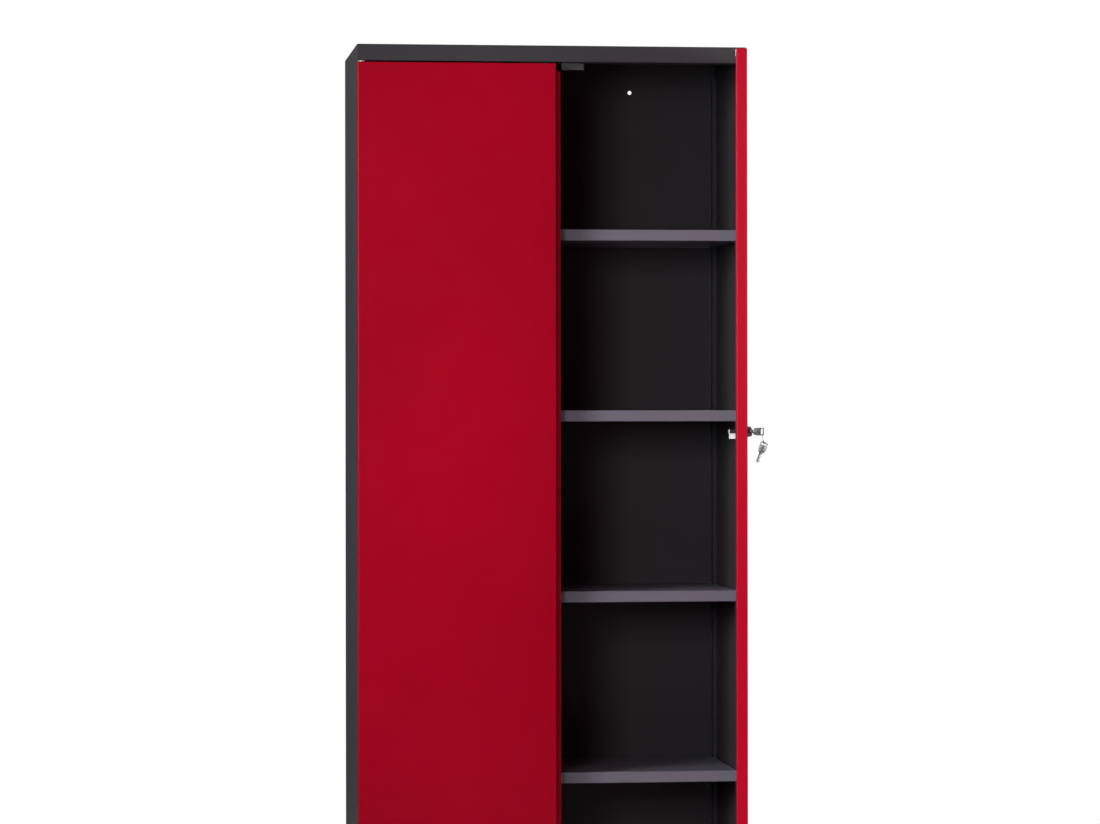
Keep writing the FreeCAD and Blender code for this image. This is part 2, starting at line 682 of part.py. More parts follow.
def door_pan(label, hand, width, seat):
    """Pan door: a face, four edges and an inward flange round its back, with rounded bends between them.

    hand is 1 where the door runs towards +x from its pivot, and -1 where it runs the other way.
    """
    body = new_body(label)
    outer = f"{hand} * (-pivot_inset)"
    meeting = f"{hand} * ({width} - pivot_inset)"
    pad(body, "XZ", [rectangle(outer, meeting, DOOR_BOTTOM, DOOR_TOP)], "-pivot_setback", "door_thickness")
    for depth in ("-pivot_setback", "-pivot_setback + door_thickness"):
        round_edges(body, "door_bend", lambda point: near(point.y, depth))
    hollow = rectangle(f"{hand} * (-pivot_inset + sheet)", f"{hand} * ({width} - pivot_inset - sheet)",
                       f"{DOOR_BOTTOM} + sheet", f"{DOOR_TOP} - sheet")
    cut(body, "XZ", [hollow], "-pivot_setback + sheet", "door_thickness - 2 * sheet")
    mouth = rectangle(f"{hand} * (door_flange - pivot_inset)",
                      f"{hand} * ({width} - pivot_inset - meeting_flange)",
                      f"{DOOR_BOTTOM} + door_flange", f"{DOOR_TOP} - door_flange")
    cut(body, "XZ", [mouth], "-pivot_setback + door_thickness - sheet", "sheet")
    for start in (DOOR_BOTTOM, f"{DOOR_TOP} - sheet"):
        cut(body, "XY", [], start, "sheet", [("0", "0", "pin_radius")])
    seat(body)
    return body


def door_stiffener(label, hand, width, seat):
    """Hat section behind the middle of a door's face."""
    body = new_body(label)
    middle = f"{hand} * ({width} / 2 - pivot_inset)"
    skin = "(-pivot_setback + sheet)"
    crown = f"({skin} + stiffener_depth)"
    section = [
        (f"{middle} - stiffener_width / 2 - stiffener_foot", skin),
        (f"{middle} - stiffener_width / 2 + sheet", skin),
        (f"{middle} - stiffener_width / 3 + sheet", f"{crown} - sheet"),
        (f"{middle} + stiffener_width / 3 - sheet", f"{crown} - sheet"),
        (f"{middle} + stiffener_width / 2 - sheet", skin),
        (f"{middle} + stiffener_width / 2 + stiffener_foot", skin),
        (f"{middle} + stiffener_width / 2 + stiffener_foot", f"{skin} + sheet"),
        (f"{middle} + stiffener_width / 2", f"{skin} + sheet"),
        (f"{middle} + stiffener_width / 3", crown),
        (f"{middle} - stiffener_width / 3", crown),
        (f"{middle} - stiffener_width / 2", f"{skin} + sheet"),
        (f"{middle} - stiffener_width / 2 - stiffener_foot", f"{skin} + sheet"),
    ]
    length = f"{DOOR_TOP} - {DOOR_BOTTOM} - 2 * stiffener_margin"
    pad(body, "XY", [section], f"{DOOR_BOTTOM} + stiffener_margin", length)
    seat(body)


def meeting_strip():
    """Joggled strip behind the left door's meeting edge. The right door closes onto it."""
    body = new_body("left_door_meeting_strip")
    edge = f"({LEFT_WIDTH} - pivot_inset)"
    back = "(-pivot_setback + door_thickness)"
    section = [
        (f"{edge} - meeting_flange", back),
        (f"{edge} - sheet", back),
        (edge, f"{back} + lip_joggle"),
        (f"{edge} + lip_reach", f"{back} + lip_joggle"),
        (f"{edge} + lip_reach", f"{back} + lip_joggle + sheet"),
        (f"{edge} - sheet / 2", f"{back} + lip_joggle + sheet"),
        (f"{edge} - sheet * 3 / 2", f"{back} + sheet"),
        (f"{edge} - meeting_flange", f"{back} + sheet"),
    ]
    length = f"{DOOR_TOP} - {DOOR_BOTTOM} - 2 * door_flange"
    pad(body, "XY", [section], f"{DOOR_BOTTOM} + door_flange", length)
    on_left_door(body)


# Magnetic catches under the header and their strikes on the doors.

def catch_middle(side):
    return f"(door_split + {side} * catch_inset)"


def magnetic_catch(label, side):
    """Case with two steel pole plates, hung from the header's return."""
    body = new_body(label)
    middle = catch_middle(side)
    front = f"({DOOR_BACK} + sheet + running_gap + pole_proud)"
    case = rectangle(f"{middle} - catch_width / 2", f"{middle} + catch_width / 2",
                     f"{HEADER_UNDER} - catch_height", HEADER_UNDER)
    pad(body, "XZ", [case], front, "catch_depth")
    left = f"{middle} - strike_width / 2"
    right = f"{middle} + strike_width / 2"
    lower = f"{HEADER_UNDER} - catch_height + pole_inset"
    upper = f"{HEADER_UNDER} - pole_inset - pole_thickness"
    for low in (lower, upper):
        pole = rectangle(left, right, low, f"{low} + pole_thickness")
        pad(body, "XZ", [pole], f"{front} - pole_proud", "pole_proud")


def strike(label, side, seat):
    """Plate on the door's top flange that the magnet holds."""
    body = new_body(label)
    home = f"(-1) * {PIVOT_X}" if side < 0 else PIVOT_X
    middle = f"({catch_middle(side)} - ({home}))"
    back = "(-pivot_setback + door_thickness)"
    top = f"({DOOR_TOP} - sheet)"
    left = f"{middle} - strike_width / 2"
    right = f"{middle} + strike_width / 2"
    plate = rectangle(left, right, f"{top} - strike_height", top)
    pad(body, "XZ", [plate], back, "sheet")
    seat(body)


# Lock, in the right door's own frame.

def lock_housing():
    """Domed front and barrel in one turned piece, bored for the plug."""
    body = new_body("lock_housing")
    bore = "plug_radius + running_clearance"
    outline = [(LOCK_FRONT, bore)]
    for depth, radius in DOME_PROFILE:
        outline.append((f"{LOCK_FRONT} + lock_proud * {depth}", f"lock_dome * {radius}"))
    outline += [
        (f"{LOCK_FACE} - lock_rim", "lock_dome"),
        (LOCK_FACE, "lock_dome"),
        (LOCK_FACE, "lock_barrel"),
        (BARREL_END, "lock_barrel"),
        (BARREL_END, bore),
    ]
    turn_solid(body, "YZ", outline, "H_Axis")
    seat_on_lock(body)


def seat_on_lock(item):
    """Places a piece drawn about the lock axis on the open right door."""
    turn = "right_door_angle"
    x = f"{PIVOT_X} + cos({turn}) * {LOCK_X}"
    y = f"{PIVOT_Y} + sin({turn}) * {LOCK_X}"
    place(item, x, y, "lock_height", turn)


def lock_nut():
    body = new_body("lock_nut")
    flat = "(lock_nut_across / 2)"
    corner = "(lock_nut_across / sqrt(3))"
    hexagon = [
        (corner, "0"),
        (f"{corner} / 2", flat),
        (f"-{corner} / 2", flat),
        (f"-{corner}", "0"),
        (f"-{corner} / 2", f"-{flat}"),
        (f"{corner} / 2", f"-{flat}"),
    ]
    inside = "-pivot_setback + sheet"
    pad(body, "XZ", [hexagon], inside, "lock_nut_height")
    cut(body, "XZ", [], inside, "lock_nut_height", [("0", "0", "lock_barrel")])
    seat_on_lock(body)


def lock_plug():
    """Turning plug with a keyway in front and a square tail behind for the cam."""
    body = new_body("lock_plug")
    front = f"({LOCK_FRONT} + plug_recess)"
    outline = [
        (front, "0"),
        (front, "plug_radius"),
        (BARREL_END, "plug_radius"),
        (BARREL_END, "0"),
    ]
    turn_solid(body, "YZ", outline, "H_Axis")
    half = "tail_side / 2"
    tail = rectangle(f"-{half}", half, f"-{half}", half)
    pad(body, "XZ", [tail], BARREL_END, f"{CAM_FRONT} + cam_thickness - {BARREL_END}")
    keyway = rectangle("-key_thickness / 2", "key_thickness / 2", "-blade_width / 2", "blade_width / 2")
    cut(body, "XZ", [keyway], front, "blade_length - bow_gap - plug_recess + running_gap")
    screw_tip = f"{CAM_FRONT} + cam_thickness - cam_screw_length"
    cut(body, "XZ", [octagon("0", "0", "cam_screw_radius")], screw_tip, "cam_screw_length")
    seat_on_lock(body)


def lock_cam():
    """Cam whose arm hangs down when unlocked. Its side wing is bent towards the door and, a quarter
    turn later, hooks behind the meeting strip."""
    body = new_body("lock_cam")
    arm = rectangle("-cam_width / 2", "cam_width / 2", "-cam_reach", "cam_back")
    pad(body, "XZ", [arm], CAM_FRONT, "cam_thickness")
    wing = rectangle("-cam_width / 2", "-cam_width / 2 + cam_thickness", "-cam_reach", "-cam_wing_start")
    wing_front = "(-pivot_setback + door_thickness + lip_joggle + sheet + running_gap)"
    pad(body, "XZ", [wing], wing_front, f"{CAM_FRONT} - {wing_front}")
    half = "tail_side / 2"
    cut(body, "XZ", [rectangle(f"-{half}", half, f"-{half}", half)], CAM_FRONT, "cam_thickness")
    seat_on_lock(body)


def cam_screw():
    body = new_body("cam_screw")
    start = f"({CAM_FRONT} + cam_thickness)"
    tip = f"{start} - cam_screw_length"
    pad(body, "XZ", [octagon("0", "0", "cam_screw_radius")], tip, "cam_screw_length")
    pad(body, "XZ", [octagon("0", "0", "cam_screw_head")], start, "cam_screw_head_height")
    seat_on_lock(body)


def key_shape(body):
    """Flat key drawn in the upright plane through the lock axis: bow, slot and cut blade.

    The bow's shoulder is where a key stands when it is pushed home.
    """
    start = BOW_START
    end = f"({BOW_START} - bow_length)"
    tip = f"({BOW_START} + blade_length)"
    half = "bow_width / 2"
    edge = "blade_width / 2"
    bow = [
        (start, f"-{edge}"),
        (start, f"-{half} + bow_corner"),
        (f"{start} - bow_corner", f"-{half}"),
        (f"{end} + bow_corner", f"-{half}"),
        (end, f"-{half} + bow_corner"),
        (end, f"{half} - bow_corner"),
        (f"{end} + bow_corner", half),
        (f"{start} - bow_corner", half),
        (start, f"{half} - bow_corner"),
        (start, edge),
    ]
    blade = [(f"{tip} - {edge}", edge), (tip, "0"), (f"{tip} - {edge}", f"-{edge}")]
    cuts = []
    for step, share in enumerate(BITTING):
        middle = f"({tip} - blade_width - {step} * bitting_pitch)"
        level = f"-{edge} + {share} * bitting_depth"
        cuts.append((f"{middle} + bitting_flat / 2", level))
        cuts.append((f"{middle} - bitting_flat / 2", level))
    pad(body, "YZ", [bow + blade + cuts], "-key_thickness / 2", "key_thickness")
    slot = rectangle(f"{SLOT_MIDDLE} - bow_slot_width / 2", f"{SLOT_MIDDLE} + bow_slot_width / 2",
                     SLOT_LOW, f"-{SLOT_LOW}")
    cut(body, "YZ", [slot], "-key_thickness / 2", "key_thickness")


def key():
    body = new_body("key")
    key_shape(body)
    seat_on_lock(body)


def ring_turn(lean):
    """Rotation of a piece that leans about the ring's pivot, on the open right door."""
    door = FreeCAD.Rotation(FreeCAD.Vector(0, 0, 1), number("right_door_angle"))
    return door.multiply(FreeCAD.Rotation(FreeCAD.Vector(1, 0, 0), lean))


def door_point(x, y, z):
    """Point of the open right door, from its own frame."""
    door = FreeCAD.Rotation(FreeCAD.Vector(0, 0, 1), number("right_door_angle"))
    return FreeCAD.Vector(number(PIVOT_X), number(PIVOT_Y), 0) + door.multVec(FreeCAD.Vector(x, y, z))


def ring_pivot():
    """Where the ring's wire crosses the slot of the key in the lock."""
    return door_point(number(LOCK_X), number(SLOT_MIDDLE), number(RING_TOP))


def ring_low_point():
    """Where the wire crosses the spare key's slot, opposite the pivot."""
    drop = FreeCAD.Vector(0, 0, -2 * number("ring_radius"))
    return ring_pivot() + ring_turn(-number("ring_angle")).multVec(drop)


def key_ring():
    """Ring of six-sided wire through both keys' slots, hung from the bar below the first key's slot."""
    ring = new_body("key_ring")
    turn_solid(ring, "XZ", octagon("ring_radius", "0", "ring_wire", HEXAGON), "V_Axis")
    lean = ring_turn(-number("ring_angle"))
    middle = ring_pivot() + lean.multVec(FreeCAD.Vector(0, 0, -number("ring_radius")))
    flat = FreeCAD.Rotation(FreeCAD.Vector(1, 0, 0), 90)
    ring.Placement = FreeCAD.Placement(middle, lean.multiply(flat))


def spare_key():
    """Second key of the same cut, hanging by its slot from the low side of the ring."""
    body = new_body("spare_key")
    key_shape(body)
    hang = FreeCAD.Rotation(FreeCAD.Vector(1, 0, 0), -90)
    lean = ring_turn(number("spare_angle"))
    whole = lean.multiply(hang)
    slot_edge = number(SLOT_MIDDLE) - number("bow_slot_width") / 2
    held = FreeCAD.Vector(0, slot_edge + number("ring_wire") + number("running_gap"), 0)
    body.Placement = FreeCAD.Placement(ring_low_point() - whole.multVec(held), whole)


def build():
    side_panel("left_side_panel", -1)
    side_panel("right_side_panel", 1)
    back_panel()
    top_panel()
    base_panel()
    deck_support()
    for name, side in (("left", -1), ("right", 1)):
        standard(f"{name}_front_standard", side, FRONT_STANDARD)
        standard(f"{name}_rear_standard", side, REAR_STANDARD)
        pivot_bush(f"{name}_upper_bush", side, True)
        pivot_bush(f"{name}_lower_bush", side, False)
        magnetic_catch(f"{name}_catch", side)
    for shelf_number in SHELF_NUMBERS:
        shelf(shelf_number)
        shelf_clips(shelf_number)
    wall_screws()
    back_screws()
    doors = (("left", 1, LEFT_WIDTH, on_left_door), ("right", -1, RIGHT_WIDTH, on_right_door))
    for name, hand, width, seat in doors:
        pan = door_pan(f"{name}_door_pan", hand, width, seat)
        if name == "right":
            lock_hole = (LOCK_X, "lock_height", "lock_barrel")
            cut(pan, "XZ", [], "-pivot_setback", "sheet", [lock_hole])
        door_stiffener(f"{name}_door_stiffener", hand, width, seat)
        pivot_pin(f"{name}_door_upper_pin", seat, True)
        pivot_pin(f"{name}_door_lower_pin", seat, False)
        strike(f"{name}_door_strike", -hand, seat)
    meeting_strip()
    lock_housing()
    lock_nut()
    lock_plug()
    lock_cam()
    cam_screw()
    key()
    key_ring()
    spare_key()
    doc.recompute()


def check_and_export():
    """Refuses a failed object, then writes one STEP file for each piece."""
    for item in doc.Objects:
        if "Invalid" in item.State or "Error" in item.State:
            raise RuntimeError(f"{item.Label} failed: {item.State}")
    groups = [item for item in doc.Objects if item.TypeId == "Part::Compound"]
    grouped = {member.Name for item in groups for member in item.Links}
    bodies = [item for item in doc.Objects if item.TypeId == "PartDesign::Body"]
    pieces = groups + [body for body in bodies if body.Name not in grouped]
    os.makedirs("parts", exist_ok=True)
    for piece in pieces:
        if piece.Shape.isNull() or not piece.Shape.isValid():
            raise RuntimeError(f"{piece.Label} has no valid shape")
    for piece in pieces:
        piece.Shape.exportStep(f"parts/{piece.Label}.step")
    print(len(pieces), "pieces written")


build()
check_and_export()
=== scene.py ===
"""Two-door steel storage cabinet: finishes, lock hardware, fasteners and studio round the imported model.

Everything is in metres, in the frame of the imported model: +Z up, -Y out of the front, origin on the floor.
"""

import json
import logging
import math
from collections.abc import Callable, Sequence
from dataclasses import dataclass
from enum import Enum
from typing import Any

import bmesh
import bpy
import numpy as np
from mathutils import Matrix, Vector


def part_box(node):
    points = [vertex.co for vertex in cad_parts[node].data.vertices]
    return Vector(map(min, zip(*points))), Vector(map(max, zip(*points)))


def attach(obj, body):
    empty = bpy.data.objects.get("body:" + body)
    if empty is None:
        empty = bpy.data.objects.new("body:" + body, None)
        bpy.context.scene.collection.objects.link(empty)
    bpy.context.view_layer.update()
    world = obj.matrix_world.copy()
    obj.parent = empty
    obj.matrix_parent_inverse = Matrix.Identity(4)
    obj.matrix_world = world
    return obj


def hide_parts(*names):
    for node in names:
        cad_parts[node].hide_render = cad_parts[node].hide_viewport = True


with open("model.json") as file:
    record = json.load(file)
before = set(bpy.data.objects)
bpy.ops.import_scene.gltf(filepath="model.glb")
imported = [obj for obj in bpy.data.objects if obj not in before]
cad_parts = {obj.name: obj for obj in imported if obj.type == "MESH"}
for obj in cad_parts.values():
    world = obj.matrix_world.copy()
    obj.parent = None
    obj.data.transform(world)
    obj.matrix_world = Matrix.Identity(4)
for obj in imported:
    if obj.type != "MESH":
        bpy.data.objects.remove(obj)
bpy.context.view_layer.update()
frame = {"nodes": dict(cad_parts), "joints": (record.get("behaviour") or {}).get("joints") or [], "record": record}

LOG = logging.getLogger("cabinet")
MM = 0.001
TURN = 2.0 * math.pi

Array = np.ndarray
Colour = tuple[float, float, float]
Point = tuple[float, float, float]
Span = tuple[float, float]
Profile = Sequence[tuple[float, float]]

WHITE: Colour = (1.0, 1.0, 1.0)
UNTURNED = np.eye(3)
ORIGIN = np.zeros(3)

# Colour sockets of the Mix node, which share their names with its sockets for numbers and vectors.
MIX_FACTOR, MIX_FIRST, MIX_SECOND, MIX_RESULT = 0, 6, 7, 2


# Shader building.

def solid(value: Any) -> Any:
    """Adds full alpha to a colour of three numbers and leaves anything else alone."""
    return (*value, 1.0) if isinstance(value, tuple) and len(value) == 3 else value


class Signal:
    """A shader value or colour socket on which the usual operators add Math nodes."""

    def __init__(self, graph: "Graph", socket: bpy.types.NodeSocket) -> None:
        """Keeps the socket and the graph it belongs to."""
        self.graph = graph
        self.socket = socket

    def maths(self, operation: str, *others: "Signal | float") -> "Signal":
        """Adds a Math node.

        Args:
            operation: Blender's name of the operation.
            others: further operands.

        Returns:
            The node's value.
        """
        return self.graph.value("ShaderNodeMath", {"operation": operation}, dict(enumerate((self, *others))))

    def __add__(self, other: "Signal | float") -> "Signal":
        """Sum."""
        return self.maths("ADD", other)

    __radd__ = __add__

    def __mul__(self, other: "Signal | float") -> "Signal":
        """Product."""
        return self.maths("MULTIPLY", other)

    __rmul__ = __mul__

    def __sub__(self, other: "Signal | float") -> "Signal":
        """Difference."""
        return self.maths("SUBTRACT", other)

    def __rsub__(self, other: float) -> "Signal":
        """Number less this value."""
        return (self * -1.0) + other

    def __pow__(self, other: float) -> "Signal":
        """Power."""
        return self.maths("POWER", other)

    def larger(self, other: "Signal | float") -> "Signal":
        """Larger of two values."""
        return self.maths("MAXIMUM", other)

    def step(self, low: float, high: float) -> "Signal":
        """Smooth step from 0 at low to 1 at high."""
        inputs = {"Value": self, "From Min": low, "From Max": high}
        return self.graph.value("ShaderNodeMapRange", {"interpolation_type": "SMOOTHSTEP"}, inputs)

    def between(self, low: float, high: float) -> "Signal":
        """Spreads a 0 to 1 value linearly from low to high."""
        return self * (high - low) + low


class Graph:
    """Node tree of one material or of the surroundings."""

    def __init__(self, owner: bpy.types.Material | bpy.types.World) -> None:
        """Empties the owner's tree.

        Args:
            owner: the material or the world.
        """
        owner.use_nodes = True
        self.owner = owner
        self.tree = owner.node_tree
        self.tree.nodes.clear()

    @classmethod
    def material(cls, name: str) -> "Graph":
        """Graph of a new material."""
        return cls(bpy.data.materials.new(name))

    def node(self, kind: str, settings: dict[str, Any] | None = None,
             inputs: dict[str | int, Any] | None = None) -> bpy.types.Node:
        """Adds a node.

        Args:
            kind: the node's type.
            settings: its properties, set before its sockets.
            inputs: values or links of its sockets, by name or number.

        Returns:
            The node.
        """
        made = self.tree.nodes.new(kind)
        for key, value in (settings or {}).items():
            setattr(made, key, value)
        for key, value in (inputs or {}).items():
            if isinstance(value, Signal):
                self.tree.links.new(value.socket, made.inputs[key])
            else:
                made.inputs[key].default_value = value
        return made

    def value(self, kind: str, settings: dict[str, Any] | None = None,
              inputs: dict[str | int, Any] | None = None, output: str | int = 0) -> Signal:
        """Adds a node and returns one of its outputs."""
        return Signal(self, self.node(kind, settings, inputs).outputs[output])

    def parts(self, vector: Signal) -> tuple[Signal, Signal, Signal]:
        """Three values of a vector."""
        split = self.node("ShaderNodeSeparateXYZ", inputs={0: vector})
        return tuple(Signal(self, split.outputs[i]) for i in range(3))

    def place(self) -> Signal:
        """Object coordinates, in metres."""
        return self.value("ShaderNodeTexCoord", output="Object")

    def stretched(self, x: float, y: float, z: float) -> Signal:
        """Object coordinates multiplied axis by axis."""
        return self.value("ShaderNodeVectorMath", {"operation": "MULTIPLY"}, {0: self.place(), 1: (x, y, z)})

    def noise(self, size: float, detail: float = 2.0, vector: Signal | None = None) -> Signal:
        """Noise between 0 and 1 whose lumps are about size metres across."""
        inputs = {"Vector": vector or self.place(), "Scale": 1.0 / size, "Detail": detail}
        return self.value("ShaderNodeTexNoise", inputs=inputs)

    def cells(self, size: float) -> Signal:
        """Breaks the surface into crystal-like cells.

        Args:
            size: about how wide a cell is, in metres.

        Returns:
            One random value in each cell, the red of its colour.
        """
        inputs = {"Vector": self.place(), "Scale": 1.0 / size}
        colour = self.value("ShaderNodeTexVoronoi", inputs=inputs, output="Color")
        return self.value("ShaderNodeSeparateColor", inputs={0: colour})

    def blend(self, factor: Signal | float, first: Colour | Signal, second: Colour | Signal) -> Signal:
        """Mixes two colours, the first at factor 0 and the second at factor 1."""
        inputs = {MIX_FACTOR: factor, MIX_FIRST: solid(first), MIX_SECOND: solid(second)}
        return self.value("ShaderNodeMix", {"data_type": "RGBA"}, inputs, MIX_RESULT)

    def bump(self, height: Signal, metres: float, under: Signal | None = None) -> Signal:
        """Turns a relief into a normal.

        Args:
            height: the relief, between 0 and 1.
            metres: how high its 1 stands.
            under: the normal that it lies on, if not the surface's own.

        Returns:
            The normal.
        """
        inputs = {"Height": height, "Distance": metres, "Strength": 1.0}
        if under is not None:
            inputs["Normal"] = under
        return self.value("ShaderNodeBump", inputs=inputs)

    def principled(self, **inputs: Any) -> Signal:
        """Principled shader. The inputs are its sockets, with underscores for spaces."""
        named = {key.replace("_", " "): solid(value) for key, value in inputs.items()}
        return self.value("ShaderNodeBsdfPrincipled", inputs=named)

    def background(self, colour: Colour | Signal, strength: float = 1.0) -> Signal:
        """Background shader of the surroundings."""
        return self.value("ShaderNodeBackground", inputs={"Color": solid(colour), "Strength": strength})

    def mixed(self, factor: Signal, first: Signal, second: Signal) -> Signal:
        """First shader where the factor is 0, second shader where it is 1."""
        return self.value("ShaderNodeMixShader", inputs={0: factor, 1: first, 2: second})

    def ends_in(self, shader: Signal) -> bpy.types.Material | bpy.types.World:
        """Links a shader to the output.

        Args:
            shader: the finished shader.

        Returns:
            The tree's owner.
        """
        kind = "World" if isinstance(self.owner, bpy.types.World) else "Material"
        self.node(f"ShaderNodeOutput{kind}", inputs={"Surface": shader})
        return self.owner


# Finishes. Their sizes are those of the noise's lumps, and a span is where the lumps fade in. A tint is the
# most that they move the colour towards the second one, and a rough the most that they move the roughness.

@dataclass(frozen=True)
class PowderCoat:
    """Sprayed and baked coat: fine orange peel on sheet that is never quite flat."""

    name: str
    colour: Colour
    shade: Colour
    roughness: float
    specular: float
    haze_rough: float = 0.05
    haze_size: float = 0.07
    cloud_size: float = 0.5
    cloud_span: Span = (0.3, 0.7)
    speck_size: float = 0.6 * MM
    speck_span: Span = (0.66, 0.8)
    speck_tint: float = 0.25
    speck_rough: float = 0.1
    sway: float = 0.5 * MM
    sway_size: float = 0.34
    peel: float = 0.004 * MM
    peel_size: float = 1.3 * MM

    def build(self) -> bpy.types.Material:
        """Makes the material.

        Returns:
            The material.
        """
        graph = Graph.material(self.name)
        cloud = graph.noise(self.cloud_size, detail=3.0).step(*self.cloud_span)
        haze = graph.noise(self.haze_size, detail=4.0)
        speck = graph.noise(self.speck_size, detail=1.0).step(*self.speck_span)
        colour = graph.blend(cloud, self.shade, self.colour)
        colour = graph.blend(speck * self.speck_tint, colour, self.shade)
        rough = haze.between(self.roughness - self.haze_rough, self.roughness + self.haze_rough)
        rough = rough + speck * self.speck_rough
        sway = graph.bump(graph.noise(self.sway_size, detail=1.0), self.sway)
        peel = graph.bump(graph.noise(self.peel_size), self.peel, sway)
        return graph.ends_in(graph.principled(
            Base_Color=colour, Roughness=rough, Specular_IOR_Level=self.specular, Normal=peel,
        ))


@dataclass(frozen=True)
class PlatedSteel:
    """Plated or bright metal, with plating spangle, handling marks, and streaks per metre along each axis."""

    name: str
    colour: Colour
    stain: Colour
    roughness: float
    spangle: float = 4.0 * MM
    streak: tuple[float, float, float] = (3000.0, 3000.0, 60.0)
    spangle_tint: float = 0.22
    streak_rough: Span = (-0.06, 0.08)
    streak_relief: float = 0.003 * MM
    marks_size: float = 6.0 * MM
    marks_span: Span = (0.42, 0.72)
    marks_tint: float = 0.35
    marks_rough: float = 0.12

    def build(self) -> bpy.types.Material:
        """Makes the material.

        Returns:
            The material.
        """
        graph = Graph.material(self.name)
        cells = graph.cells(self.spangle)
        marks = graph.noise(self.marks_size, detail=5.0).step(*self.marks_span)
        streaks = graph.noise(1.0, vector=graph.stretched(*self.streak))
        tint = cells * self.spangle_tint + marks * self.marks_tint
        return graph.ends_in(graph.principled(
            Base_Color=graph.blend(tint, self.colour, self.stain),
            Metallic=1.0,
            Roughness=streaks.between(*self.streak_rough) + marks * self.marks_rough + self.roughness,
            Normal=graph.bump(streaks, self.streak_relief),
        ))


@dataclass(frozen=True)
class Moulding:
    """Moulded plastic or a fine black casting coat, with a spark-eroded grain."""

    name: str
    colour: Colour
    shade: Colour
    roughness: float
    cloud_size: float = 9.0 * MM
    cloud_span: Span = (0.35, 0.7)
    cloud_rough: Span = (-0.05, 0.06)
    scuff_size: float = 2.5 * MM
    scuff_span: Span = (0.55, 0.75)
    scuff_rough: float = 0.12
    grain: float = 0.006 * MM
    grain_size: float = 0.5 * MM

    def build(self) -> bpy.types.Material:
        """Makes the material.

        Returns:
            The material.
        """
        graph = Graph.material(self.name)
        cloud = graph.noise(self.cloud_size, detail=3.0)
        scuff = graph.noise(self.scuff_size, detail=5.0).step(*self.scuff_span)
        rough = cloud.between(*(self.roughness + change for change in self.cloud_rough))
        return graph.ends_in(graph.principled(
            Base_Color=graph.blend(cloud.step(*self.cloud_span), self.colour, self.shade),
            Roughness=rough + scuff * self.scuff_rough,
            Normal=graph.bump(graph.noise(self.grain_size), self.grain),
        ))


class Finish(Enum):
    """The finishes of the cabinet."""

    BODY = PowderCoat("charcoal_powder_coat", (0.0325, 0.0285, 0.0345), (0.0275, 0.024, 0.0295), 0.5, 0.25)
    SHELF = PowderCoat("grey_powder_coat", (0.146, 0.141, 0.178), (0.127, 0.123, 0.156), 0.42, 0.35)
    DOOR = PowderCoat(
        "red_powder_coat", (0.33, 0.0002, 0.012), (0.29, 0.0002, 0.010), 0.31, 0.09, sway=0.35 * MM,
    )
    ZINC = PlatedSteel("zinc_plate", (0.63, 0.64, 0.66), (0.45, 0.46, 0.49), 0.34)
    NYLON = Moulding("natural_nylon", (0.78, 0.76, 0.70), (0.70, 0.68, 0.61), 0.42)
    CATCH = Moulding("catch_case", (0.035, 0.035, 0.038), (0.028, 0.028, 0.03), 0.5)
    LOCK = Moulding("black_lock_casting", (0.012, 0.012, 0.013), (0.018, 0.017, 0.018), 0.27)
    PLUG = PlatedSteel("darkened_plug", (0.03, 0.029, 0.028), (0.018, 0.0175, 0.017), 0.42, 2.5 * MM)
    KEY = PlatedSteel(
        "nickel_key", (0.21, 0.208, 0.200), (0.09, 0.088, 0.084), 0.27, 3.0 * MM, (900.0, 900.0, 900.0),
    )
    RING = PlatedSteel("steel_ring_wire", (0.25, 0.25, 0.26), (0.12, 0.12, 0.12), 0.26, 2.0 * MM)


SLOT_FINISH: dict[str, Finish] = {
    "body_paint": Finish.BODY,
    "shelf_paint": Finish.SHELF,
    "door_paint": Finish.DOOR,
    "zinc_steel": Finish.ZINC,
    "bush_nylon": Finish.NYLON,
    "catch_plastic": Finish.CATCH,
    "lock_black": Finish.LOCK,
    "lock_steel": Finish.PLUG,
    "key_metal": Finish.KEY,
    "ring_wire": Finish.RING,
}


class Wardrobe:
    """Builds each finish once, dresses pieces in it and lets the new ones ride."""

    def __init__(self) -> None:
        """Starts with no materials made."""
        self.made: dict[Finish, bpy.types.Material] = {}

    def dress(self, piece: bpy.types.Object, slot: str) -> None:
        """Gives every slot of a piece the finish of one of the record's slots.

        Args:
            piece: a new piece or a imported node.
            slot: the record's material slot.
        """
        finish = SLOT_FINISH[slot]
        if finish not in self.made:
            self.made[finish] = finish.value.build()
        slots = piece.data.materials
        if not slots:
            slots.append(self.made[finish])
        for index in range(len(slots)):
            slots[index] = self.made[finish]

    def place(self, piece: bpy.types.Object, body: str, slot: str, *nodes: str) -> None:
        """Dresses a new piece, lets it ride on a body and hides the nodes it replaces.

        Args:
            piece: the finished piece.
            body: the body that carries it.
            slot: the record's material slot.
            nodes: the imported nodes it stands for.
        """
        self.dress(piece, slot)
        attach(piece, body)
        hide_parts(*nodes)
        LOG.info("%s on %s, %d faces", piece.name, body, len(piece.data.polygons))


# Surfaces.

@dataclass(frozen=True)
class Grid:
    """Points worked out over two parameters, with a note on which of them closes on itself."""

    points: Array
    around: bool = False
    across: bool = False

    def quads(self, start: int) -> Array:
        """Lists the cells.

        Args:
            start: number of the grid's first point.

        Returns:
            Four corner numbers of every cell.
        """
        rows, columns = self.points.shape[:2]
        cells = np.arange(rows - (not self.around)), np.arange(columns - (not self.across))
        i, j = np.meshgrid(*cells, indexing="ij")
        below, beside = (i + 1) % rows, (j + 1) % columns
        corners = (i * columns + j, below * columns + j, below * columns + beside, i * columns + beside)
        return np.stack(corners, axis=-1).reshape(-1, 4) + start


